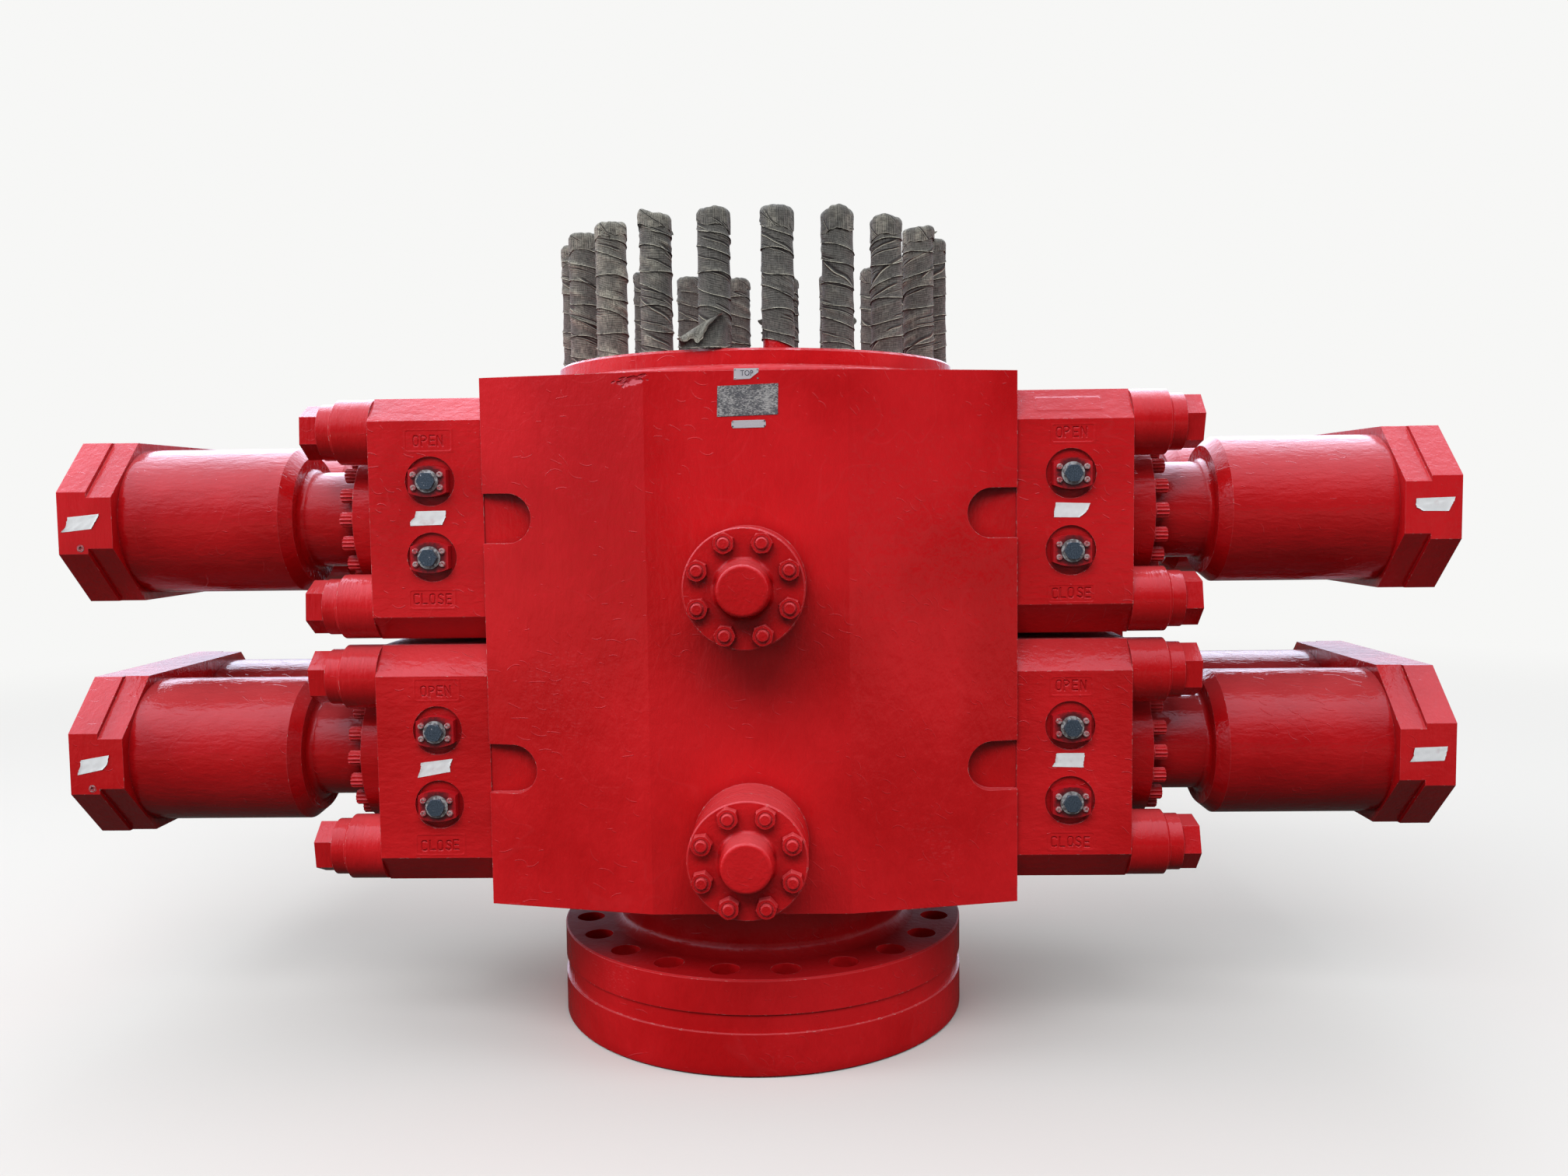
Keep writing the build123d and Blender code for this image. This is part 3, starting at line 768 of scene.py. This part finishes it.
tape_lift = 0.0005
tape_wave = 0.0006
tape_curl = 0.0016
tear_jitter = 0.0006
bonnet_tapes = {
    "tape_bonnet_upper_left": (
        [(-0.847, 1.451), (-0.850, 1.437), (-0.862, 1.425), (-0.862, 1.414)],
        [(-0.771, 1.452), (-0.772, 1.434), (-0.781, 1.416)]),
    "tape_bonnet_upper_right": (
        [(0.771, 1.454), (0.771, 1.447), (0.768, 1.436), (0.767, 1.417)],
        [(0.858, 1.451), (0.849, 1.430), (0.830, 1.416)]),
    "tape_bonnet_lower_left": (
        [(-0.855, 0.804), (-0.856, 0.788), (-0.865, 0.765)],
        [(-0.772, 0.814), (-0.779, 0.800), (-0.780, 0.780)]),
    "tape_bonnet_lower_right": (
        [(0.775, 0.817), (0.772, 0.796), (0.764, 0.782)],
        [(0.845, 0.817), (0.846, 0.808), (0.843, 0.794), (0.843, 0.780)]),
}

paper = Finish("tape_paper")
paper_spot = paper.place()
crease = paper.noise(paper_spot, (60, 60, 25), detail=4, distortion=0.6)
thin = paper.smooth(paper.noise(paper_spot, 34, detail=2), 0.60, 0.74)
crepe = paper.noise(paper_spot, (700, 700, 160), detail=1)
wrinkled = paper.mix(crease, (0.76, 0.77, 0.79), (0.88, 0.89, 0.90))
tape_paper = paper.surface(
    Base_Color=paper.mix(thin * 0.45, wrinkled, (0.60, 0.42, 0.44)),
    Roughness=0.62 + crease * 0.15, Normal=paper.bump(crease * 0.8 + crepe * 0.2, 0.0006))


def tape_strip(name, left, right, face, seed):
    """Hand-torn tape: straight rows between its left and right torn edges, which jitter a little.
    It stands off its face by the tape's thickness and a low wave, and lifts at its ends."""
    down = np.linspace(0, 1, 17)
    across = np.linspace(0, 1, 33)
    jitter = np.random.default_rng(seed).normal(0, tear_jitter, (2, len(down)))

    def torn(edge, shake):
        share = np.linspace(0, 1, len(edge))
        x, z = zip(*edge)
        return np.column_stack([np.interp(down, share, x) + shake, np.interp(down, share, z)])

    first, last = torn(left, jitter[0]), torn(right, jitter[1])
    flat = first[:, None] * (1 - across[None, :, None]) + last[:, None] * across[None, :, None]
    wave = np.sin(across * 9 + seed)[None] * np.sin(down * 5 + seed)[:, None]
    lift = tape_lift + tape_wave * wave ** 2 + tape_curl * np.abs(2 * across[None] - 1) ** 12
    points = np.stack([flat[..., 0], face - lift, flat[..., 1]], axis=-1)
    make_piece(name, *lay_surface(points[::-1]), tape_paper)


for seed, (name, edges) in enumerate(bonnet_tapes.items()):
    tape_strip(name, *edges, -bonnet_face, seed)


# Hydraulic ports: forged flanges sunk in round recesses, each closed by a steel plug in a
# collar and held by four cap screws. Collar and plug are bare, and grime and painted shade
# darken the paint round them.
port_inset = middle("port_fittings_upper_right", 0)
port_rise = 0.0965
port_plate_front = bonnet_face + 0.024
port_screw_offset = (0.034, 0.0164)
collar_rim = (0.0305, 0.0325)
plug_foot = (0.0042, 0.0050)
grime_and_shade_rim = (0.042, 0.062)
port_screw_radius = 0.0075
port_screw_height = 0.0085
port_screw_edge = 0.0015
port_socket_radius = 0.0034


def port_metal(name):
    """Red port flange with a bare steel collar and plug, and grime and painted shade on the paint round
    them. How bare and how dark a point is follows its distance from the nearest port's axis, found
    by folding both axes about their middles."""
    steel = Finish(name)
    spot = steel.place()
    x, y, z = steel.split(spot)
    between_rams = sum(ram_levels.values()) / 2
    aside = abs(x) - port_inset
    above = abs(abs(abs(z - between_rams) - (ram_levels["upper"] - between_rams)) - port_rise)
    axis_distance = (aside * aside + above * above).math("SQRT")
    ragged = steel.noise(spot, 120, detail=4)
    fine = steel.noise(spot, 420, detail=3)
    out = abs(y) - port_plate_front
    bare = steel.smooth(axis_distance + ragged * 0.004, *collar_rim, 1.0, 0.0) * steel.smooth(
        out, 0.0002, 0.0010)
    plug = steel.smooth(out, *plug_foot)
    collar = steel.mix(steel.smooth(ragged, 0.42, 0.6), (0.26, 0.22, 0.22), (0.66, 0.64, 0.63))
    blued = steel.mix(steel.smooth(fine, 0.4, 0.65), (0.045, 0.062, 0.085), (0.13, 0.17, 0.22))
    scuffed = steel.smooth(ragged, 0.68, 0.72)
    metal = steel.mix(plug, collar, steel.mix(scuffed, blued, (0.55, 0.55, 0.60)))
    # Grime and painted shade darken the paint round each collar.
    grime_and_shade = steel.smooth(axis_distance + ragged * 0.022, *grime_and_shade_rim, 0.92, 0.0) * steel.smooth(
        out, -0.004, 0.0)
    paint = steel.mix(grime_and_shade, (0.47, 0.008, 0.014), (0.060, 0.010, 0.013))
    return steel.surface(
        Base_Color=steel.mix(bare, paint, metal), Metallic=bare * 0.5,
        Roughness=0.24 + bare * 0.10 + ragged * 0.2, Normal=steel.bump(ragged * 0.6 + fine * 0.4, 0.0009))


dress(port_metal("port_steel_and_paint"), *[
    f"port_fittings_{row}_{side}" for row in ram_levels for side in ("left", "right")])
cap_screw = lathe([
    (port_screw_radius, 0), (port_screw_radius, port_screw_height - port_screw_edge),
    (port_screw_radius - port_screw_edge, port_screw_height), (port_socket_radius, port_screw_height),
    (0.0030, port_screw_height - 0.0012), (0.0004, port_screw_height - 0.0014)], turns_of(16))
cap_places = [
    facing((
        side * port_inset + aside * port_screw_offset[0], front * port_plate_front,
        level + rise + above * port_screw_offset[1]), (0, front, 0))
    for level in ram_levels.values() for side in (-1, 1) for front in (-1, 1)
    for rise in (-port_rise, port_rise) for aside in (-1, 1) for above in (-1, 1)]
chipped = Finish("chipped_screw_paint")
chip_spot = chipped.place()
chip_noise = chipped.noise(chip_spot, 260, detail=4)
screw_tone = chipped.noise(chip_spot, 22, detail=1)
chipped_screw_paint = chipped.surface(
    Base_Color=chipped.mix(
        chipped.smooth(chip_noise + screw_tone * 0.5, 0.66, 0.80), (0.40, 0.05, 0.06), (0.42, 0.31, 0.31)),
    Roughness=0.35 + chip_noise * 0.3, Metallic=chipped.smooth(chip_noise, 0.5, 0.8, 0.0, 0.6),
    Normal=chipped.bump(chip_noise, 0.0008))
port_screws = make_piece("port_screws", *repeat(*cap_screw, cap_places), chipped_screw_paint, sharp=40)


# Bonnet bolts: big hexagonal heads on round spacers, four to each bonnet, and the paired
# operating cylinders, each a turned steel barrel bolted up by sixteen twelve-point screws.
cylinder_offset = middle("cylinder_upper_right_rear", 1)
cylinder_flange_end = far_side("bonnet_upper_right", 0) + 0.083
screw_circle = 0.165
screw_radius = 0.0215
screw_length = 0.040
screw_foot = 0.005
screw_edge = 0.003
screw_slew = 0.13

dress(enamel("bolt_enamel", (24.0, 5.0, 5.0), curl=0.4, chips=0.60), *[
    f"bonnet_bolts_{row}_{side}" for row in ram_levels for side in ("left", "right")])
cylinder_paint = enamel(
    "cylinder_enamel", (5.0, 16.0, 16.0), (0.52, 0.008, 0.011), (0.38, 0.003, 0.005), curl=0.9, chips=0.63)
dress(cylinder_paint, *[
    f"cylinder_{row}_{side}_{face}"
    for row in ram_levels for side in ("left", "right") for face in ("front", "rear")])


def twelve_point_screw(radius, length):
    """Washer foot and fluted head: the head's radius dips between its twelve points as a cosine."""
    angles = turns_of(36)
    fluted = 0.87 + 0.13 * np.cos(12 * angles)
    plain = np.ones_like(angles)
    head = radius * 0.93
    profile = [
        (radius, 0), (radius, screw_foot), (head, screw_foot + 0.002), (head, length - screw_edge),
        (head * 0.86, length), (head * 0.3, length)]
    return lathe(profile, angles, np.array([plain, plain, fluted, fluted, fluted, plain]))


flange_screw = twelve_point_screw(screw_radius, screw_length)
flange_screw_places = [
    facing((
        side * cylinder_flange_end, front * cylinder_offset + screw_circle * cos(angle),
        level + screw_circle * sin(angle)), (side, 0, 0), screw_slew * place)
    for level in ram_levels.values() for side in (-1, 1) for front in (-1, 1)
    for place, angle in enumerate(turns_of(16))]
flange_screws = make_piece(
    "flange_screws", *repeat(*flange_screw, flange_screw_places), nut_paint, sharp=50)


# End yokes: forged plates that tie each pair of cylinders, painted like the rest. A socket
# plug sits low on one end face, and each front end face carries a strip of masking tape.
yoke_face = far_side("end_yoke_upper_right", 1)
yoke_plug_inset = 1.761
yoke_plug_drop = 0.066

dress(enamel("yoke_enamel", (16.0, 16.0, 3.0), curl=0.7, chips=0.62), *[
    f"end_yoke_{row}_{side}" for row in ram_levels for side in ("left", "right")])
socket_plug = lathe([
    (0.0096, -0.006), (0.0096, 0.0005), (0.0088, 0.0012), (0.0050, 0.0012), (0.0044, -0.004),
    (0.0004, -0.0042)], turns_of(16))
plug_places = [
    facing((side * yoke_plug_inset, side * yoke_face, level - yoke_plug_drop), (0, side, 0))
    for level in ram_levels.values() for side in (-1, 1)]
yoke_plugs = make_piece("yoke_plugs", *repeat(*socket_plug, plug_places), chipped_screw_paint)
yoke_tapes = {
    "tape_yoke_upper_left": (
        [(-1.790, 1.446), (-1.796, 1.421), (-1.811, 1.406)],
        [(-1.707, 1.454), (-1.708, 1.448), (-1.729, 1.415)]),
    "tape_yoke_upper_right": (
        [(1.702, 1.453), (1.700, 1.438), (1.702, 1.431), (1.720, 1.421)],
        [(1.800, 1.456), (1.797, 1.446), (1.784, 1.420)]),
    "tape_yoke_lower_left": (
        [(-1.788, 0.802), (-1.790, 0.785), (-1.799, 0.762)],
        [(-1.712, 0.815), (-1.716, 0.792), (-1.731, 0.776)]),
    "tape_yoke_lower_right": (
        [(1.711, 0.809), (1.708, 0.786), (1.699, 0.772)],
        [(1.796, 0.812), (1.794, 0.800), (1.788, 0.775)]),
}
for seed, (name, edges) in enumerate(yoke_tapes.items(), len(bonnet_tapes)):
    tape_strip(name, *edges, -yoke_face, seed)


# Top studs: twenty threaded steel studs in the boss, painted at the foot and wound from the
# foot up with strips of old woven sacking, gathered over the tips. Torn edges show pale threads.
boss_top = far_side("preventer_body", 2)
stud_circle = 0.508
stud_radius = 0.0381
stud_stands = far_side("top_studs", 2) - boss_top
stud_angles = [radians(9 + 18 * place) for place in range(20)]
cloth_thickness = 0.0009
strip_width = 0.082
strip_turn = 0.049
wrapped_girth = 0.265
left_wound_from = 17
bare_footed = 15
bare_foot = 0.013
covered_foot = 0.0006
flat_start = 1.1
cloth_fade = {10: 0.26, 11: 0.24, 12: 0.46, 13: 0.28, 14: 0.10, 17: 0.16, 18: 0.26}
crown_lift = {11: 0.004, 12: 0.003, 15: 0.009, 16: 0.010, 17: 0.006}
crown_lump = {
    12: (20, 0.005), 13: (205, 0.014), 14: (300, 0.004), 15: (150, 0.006), 16: (275, 0.011),
    17: (250, 0.008), 18: (335, 0.008)}
crease_families = ((9.0, 0.00, 8), (13.0, 0.37, 11), (6.0, 0.71, 9), (16.0, 0.19, 13))
crest_width = 0.024
hollow_offset = 0.042
hollow_width = 0.048
thread_colour = (0.62, 0.59, 0.49)

dress(enamel("stud_enamel", (30, 30, 30), curl=0.2, chips=0.7), "top_studs")

cloth = Finish("sacking_cloth")
strip_place = cloth.add("ShaderNodeUVMap", {"uv_map": "strip"})
round_place = cloth.add("ShaderNodeUVMap", {"uv_map": "round"})
cloth_spot = cloth.place()
frayed, ridged, shaded, faded, lot = (
    cloth.attribute(name) for name in ("frayed", "ridged", "shaded", "faded", "lot"))
turn_round, climb, _ = cloth.split(round_place)
across_strip = cloth.split(strip_place)[1]
wander = cloth.noise(cloth_spot, 14, detail=1) * 0.16
crests, hollows = [], []
for slant, shift, cells in crease_families:
    turn = turn_round + climb * slant + lot * (1 + shift) + wander
    pressed = cloth.smooth(cloth.noise(cloth_spot, (cells, cells, cells * 0.8), detail=0), 0.50, 0.60)
    for lines, place, width in ((crests, turn, crest_width), (hollows, turn - hollow_offset, hollow_width)):
        lines.append(cloth.smooth(place.math("PINGPONG", 0.5), 0.0, width, 1.0, 0.0) * pressed)
crease, under = (
    reduce(lambda most, other: most.math("MAXIMUM", other), lines) for lines in (crests, hollows))
threads_along, threads_across = (
    cloth.noise(strip_place, cells, detail=2) for cells in ((50, 520, 1), (520, 50, 1)))
weave = (threads_along + threads_across) * 0.5
rib = (across_strip * 1150 + weave * 5).math("SINE") * 0.5 + 0.5
blotch = cloth.noise(cloth_spot, (28, 28, 16), detail=4)
# Paler with fading and blotches, and with a painted highlight on crease crests and fold ridges.
fade_and_highlight = cloth.smooth(blotch * 0.62 + ridged * 0.26 + crease * 0.80 + faded * 0.50, 0.34, 1.05)
sack = cloth.mix(fade_and_highlight, (0.150, 0.144, 0.132), (0.66, 0.63, 0.52))
woven = (cloth.smooth(weave, 0.44, 0.56) * 0.56 + rib * 0.30) * (1 - crease * 0.7)
sack = cloth.mix(woven, sack, (0.026, 0.025, 0.023))
# Painted shade in the hollow below each crease crest and painted shadow under the edge of each turn.
sack = cloth.mix((under * 0.80 + shaded * 0.85).math("MINIMUM", 0.92), sack, (0.012, 0.011, 0.011))
loose = cloth.smooth(cloth.noise(strip_place, (40, 1, 1), detail=4), 0.38, 0.56)
sack = cloth.mix(cloth.smooth(frayed, 0.70, 0.88) * loose, sack, thread_colour)
sacking = cloth.surface(
    Base_Color=sack, Roughness=0.92, Sheen_Weight=0.2, Sheen_Roughness=0.5,
    Normal=cloth.bump(weave * 0.20 + rib * 0.09 + blotch * 0.3 + crease * 1.2 - under * 0.6, 0.0045))


def folds(angle, height, rng):
    """Outward displacement of a wound cloth: ridges, each a raised cosine to a power of
    (turns round + slant x height), fading in and out round the stud and along its height."""
    total = np.zeros(np.broadcast(angle, height).shape)
    for _ in range(9):
        slant = rng.uniform(38, 90)
        phase, where, begin = rng.uniform(0, 2 * pi, 3)
        crest = np.clip(np.cos(angle - slant * height + phase), 0, 1) ** rng.integers(5, 14)
        fade = np.clip(np.sin(height * rng.uniform(14, 40) + where), 0, 1)
        fade = fade * np.clip(0.35 + np.cos(angle * rng.integers(1, 3) + begin), 0, 1)
        total += crest * fade * rng.uniform(0.0010, 0.0030)
    return total


def wound_strip(place, rng):
    """One strip of sacking, wound upwards: along it the angle and height grow together, across
    it the radius falls from its lower edge, which lies on the turn below, to its upper edge."""
    turns = (stud_stands - strip_width * 0.45) / strip_turn + flat_start
    handed = 1 if place < left_wound_from else -1
    phase = rng.uniform(0, 2 * pi)
    gap = bare_foot if place == bare_footed else covered_foot

    def lower_edge(along):
        climbed = np.clip(turns * along - flat_start, 0, None)
        wander = 0.007 * np.sin(along * 31 + place) + 0.004 * np.sin(along * 73 + 2 * place)
        foot = gap * (1 + np.cos(phase - handed * 2 * pi * turns * along - radians(200)))
        return foot * np.exp(-2 * climbed) + strip_turn * climbed + wander * np.clip(climbed, 0, 1)

    along = np.linspace(0, 1, int(turns * 60))[:, None]
    across = np.linspace(0, 1, 22)[None, :] ** 1.4
    angle = phase - handed * 2 * pi * turns * along
    height = lower_edge(along) + strip_width * across
    next_edge = lower_edge(along + 1 / turns)
    # Painted shadow just below the lower edge of the turn above.
    shade = np.exp(-np.clip(next_edge - height, 0, None) / 0.004) * (along < 1 - 1 / turns)
    fold = folds(-handed * angle, height, rng)
    ragged = rng.uniform(0, 1, along.shape) * 0.0014
    lap = 0.0014 * (1 - across) + (0.0012 + ragged) * np.exp(-across * 18)
    tuck = 0.012 * np.clip((height - stud_stands + 0.014) / 0.016, 0, 1) ** 2
    radius = stud_radius + cloth_thickness + lap + fold + 0.0004 * np.sin(5 * angle + 40 * height) - tuck
    height = np.minimum(height, stud_stands + 0.001)
    points = np.stack([radius * np.cos(angle), radius * np.sin(angle), height], axis=-1)
    around = np.stack(np.broadcast_arrays(-turns * along, height), axis=-1)
    flat_size = (strip_width, turns * wrapped_girth)
    return points, around, np.exp(-across * 16), np.clip(fold / 0.0035, 0, 1), shade, flat_size


def crown(place, rng):
    """The cloth's end, gathered over the tip: a skirt with a ragged lower edge, a round shoulder,
    and a middle that swells by a lift and a lump, all pleated by sines of the angle."""
    ring = np.linspace(0, 1, 17)[:, None]
    angle = np.linspace(0, 2 * pi, 57)[None, :-1]
    lift = crown_lift.get(place, 0.002)
    lump_angle, lump = crown_lump.get(place, (rng.uniform(0, 360), 0.003))
    skirt = 0.030 + 0.012 * np.sin(angle + place) + 0.005 * np.sin(3 * angle + place)
    skirt = skirt + rng.uniform(0, 0.002, angle.shape)
    shoulder = 0.013
    bend = np.clip((ring - 0.3) / 0.35, 0, 1) * pi / 2
    outer = stud_radius + 0.0034
    radius = outer - shoulder * (1 - np.cos(bend))
    radius = np.where(ring > 0.65, (outer - shoulder) * (1 - ring) / 0.35, radius)
    top = stud_stands + 0.004
    height = top - shoulder + shoulder * np.sin(bend) - skirt * np.clip(1 - ring / 0.3, 0, 1)
    height = height + lift * (1 - (radius / outer) ** 2) * (ring > 0.3)
    near = np.clip(np.cos(angle - radians(lump_angle)), 0, 1) ** 3 * np.sin(np.clip(ring, 0.2, 1) * pi) ** 2
    pleat = np.sin(angle * rng.integers(6, 10) + rng.uniform(0, 6)) * np.sin(2 * angle + rng.uniform(0, 6))
    height = height + 0.0020 * pleat * ring + lump * near
    radius = radius + (0.0015 * pleat + 0.5 * lump * near) * (1 - ring)
    radius = radius + 0.001 * np.sin(angle * 11 + ring * 9)
    points = np.stack(np.broadcast_arrays(radius * np.cos(angle), radius * np.sin(angle), height), axis=-1)
    around = np.stack(np.broadcast_arrays(angle / (2 * pi) * 3, height + ring * 0.04), axis=-1)
    return points, around, np.exp(-ring * 30), np.abs(pleat) * 0.5, 0.0


def tail(angle, height, length, width, sideways, drop):
    """A torn end of cloth: a small tapering leaf that leaves the stud's side at an angle and a
    height and bends as the square of its length."""
    out = np.linspace(0, 1, 7)[:, None]
    over = np.linspace(-1, 1, 6)[None, :] * (1 - 0.8 * out) * width / 2
    root = radians(angle)
    away = np.array([cos(root), sin(root), 0.0])
    beside = np.array([-sin(root), cos(root), 0.0])
    points = (away * (stud_radius + 0.002 + length * out * (1 - 0.25 * out))[..., None]
              + beside * (sideways * length * out ** 2 + 0.3 * over)[..., None]
              + np.array([0, 0, 1.0]) * (height - drop * length * out ** 2 + over)[..., None])
    around = np.stack(np.broadcast_arrays(out * 0.1, height + over), axis=-1)
    # The leaf's fold value 0.3 makes it paler and its shade value 0.1 lays a light painted shade on it.
    return points, around, np.abs(np.linspace(-1, 1, 6))[None] ** 4, 0.3, 0.1


def cloth_piece(name, blocks, stud_angle, lot_share):
    """A piece of sacking on a stud, from blocks of (grid, place round the stud, fray, fold, shade,
    fade, closed), with maps of the flat cloth, as long and wide as the grid's edge and middle
    row, and of the turns round the stud."""
    centre = (stud_circle * cos(stud_angle), stud_circle * sin(stud_angle), boss_top)
    surfaces, maps, values = [], [], []
    for points, around, fray, fold, shade, fade, closed in blocks:
        rows, columns = points.shape[:2]
        surfaces.append(lay_surface(points + centre, close_across=closed))
        length, width = (
            np.linalg.norm(np.diff(line, axis=0), axis=1).sum()
            for line in (points[:, 0], points[rows // 2]))
        flat = np.stack(np.meshgrid(
            np.linspace(0, length, rows), np.linspace(0, width, columns), indexing="ij"), axis=-1)
        maps.append(np.concatenate([flat, around], axis=-1).reshape(-1, 4))
        values.append([
            np.broadcast_to(value, (rows, columns)).ravel()
            for value in (fray, fold, shade, fade, lot_share)])
    piece = make_piece(name, *join(surfaces), sacking, sharp=180)
    mesh = piece.data
    for label, value in zip(("frayed", "ridged", "shaded", "faded", "lot"), np.concatenate(values, axis=1)):
        keep(mesh, label, value)
    loop_corner = np.empty(len(mesh.loops), dtype=np.int32)
    mesh.loops.foreach_get("vertex_index", loop_corner)
    loop_maps = np.concatenate(maps)[loop_corner].astype(np.float32)
    for label, columns in (("strip", slice(0, 2)), ("round", slice(2, 4))):
        mesh.uv_layers.new(name=label).data.foreach_set("uv", loop_maps[:, columns].ravel())
    return piece


# Each torn end: angle and height on the stud, length, width, sideways bend, drop and fade.
tails = {
    10: [(250, 0.012, 0.016, 0.020, 0.3, 0.5, 0.9), (285, 0.010, 0.012, 0.014, -0.4, 0.2, 0.8)],
    11: [(320, 0.012, 0.014, 0.016, 0.6, 0.4, 0.9)],
    13: [(215, 0.318, 0.012, 0.018, 0.4, 0.3, -0.2), (10, 0.305, 0.008, 0.016, 0.2, 0.6, 0.0)],
    15: [(188, 0.068, 0.015, 0.016, 0.3, -0.2, 0.0), (200, 0.040, 0.008, 0.008, 0.3, -0.1, 0.0)],
    16: [(352, 0.074, 0.010, 0.022, -0.3, 0.1, 0.1)],
    18: [(350, 0.336, 0.015, 0.010, 0.2, -0.3, 0.3)],
}
for place, stud_angle in enumerate(stud_angles):
    rng = np.random.default_rng(100 + place)
    fade = cloth_fade.get(place, 0.05)
    *strip, flat_size = wound_strip(place, rng)
    blocks = [(*strip, fade, False), (*crown(place, rng), fade + 0.12, True)]
    for *leaf, leaf_fade in tails.get(place, []):
        blocks.append((*tail(*leaf), leaf_fade, False))
    wrap = cloth_piece(f"stud_wrap_{place + 1:02d}", blocks, stud_angle, rng.uniform(0, 1))
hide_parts("stud_wraps")


# The end of one front wrap has come away at its foot: a torn leaf, folded over to the left, hangs
# in front of a skirt of cloth that runs down from it to the boss and fills the hollow under the
# leaf, darkened there by painted shadow. Edges are measured from the stud's axis and the boss's top.
torn_stud = 14
leaf_upper = [
    (-0.090, -0.050, 0.024), (-0.066, -0.052, 0.039), (-0.040, -0.050, 0.055), (-0.017, -0.046, 0.069),
    (0.006, -0.044, 0.079), (0.021, -0.038, 0.087)]
leaf_lower = [
    (-0.089, -0.054, 0.021), (-0.068, -0.068, 0.015), (-0.050, -0.071, 0.022), (-0.038, -0.074, 0.010),
    (-0.025, -0.070, 0.023), (-0.015, -0.062, 0.046), (0.009, -0.051, 0.075), (0.024, -0.042, 0.084)]
skirt_upper = [
    (-0.086, -0.047, 0.021), (-0.040, -0.047, 0.051), (-0.010, -0.043, 0.071), (0.021, -0.037, 0.084),
    (0.036, -0.022, 0.052), (0.0425, -0.006, 0.034)]
skirt_lower = [
    (-0.080, -0.040, 0.001), (-0.050, -0.057, 0.001), (-0.015, -0.063, 0.001), (0.018, -0.056, 0.001),
    (0.036, -0.034, 0.001), (0.0425, -0.004, 0.001)]
along = np.linspace(0, 1, 49)
over = np.linspace(0, 1, 13)[None, :, None]
flap_blocks = []
for upper, lower, belly, fray_power in (
        (leaf_upper, leaf_lower, 0.006, 9), (skirt_upper, skirt_lower, -0.004, 30)):
    top_edge = curve_through(upper, len(along))
    free_edge = curve_through(lower, len(along)) + np.column_stack([
        0.001 * np.sin(along * 47), np.zeros_like(along), 0.0012 * np.abs(np.sin(along * 61 + 2))])
    grid = top_edge[:, None] * (1 - over) + free_edge[:, None] * over
    ripple = np.sin(over * pi) * (belly + 0.0025 * np.sin(along[:, None, None] * 19 + over * 4))
    grid = grid + np.array([0, -1.0, 0.25]) * ripple
    place_round = np.stack(np.broadcast_arrays(along[:, None] * 0.4, 0.2 + 0.05 * over[..., 0]), axis=-1)
    # Painted shadow on the skirt, deepest under the leaf's top edge.
    shadow = 0.0 if belly > 0 else 0.35 + 0.4 * (1 - over[..., 0]) ** 2
    fade = 0.35 if belly > 0 else 0.1
    flap_blocks.append((grid, place_round, over[..., 0] ** fray_power, 0.5, shadow, fade, False))
flap = cloth_piece("torn_flap", flap_blocks, stud_angles[torn_stud], 0.4)


# Rams: the steel gates inside the body, drawn back from the bore. They are machined and oiled,
# and show only through the wellbore.
machined = Finish("oiled_ram_steel")
ram_spot = machined.place()
cutter_marks = machined.noise(ram_spot, (4, 4, 420), detail=3)
oil = machined.noise(ram_spot, 14, detail=3)
oiled_steel = machined.surface(
    Base_Color=machined.mix(machined.smooth(oil, 0.4, 0.65), (0.085, 0.080, 0.075), (0.20, 0.195, 0.19)),
    Metallic=0.85, Roughness=0.28 + oil * 0.2, Normal=machined.bump(cutter_marks, 0.0004))
dress(oiled_steel, *[f"ram_{row}_{side}" for row in ram_levels for side in ("left", "right")])
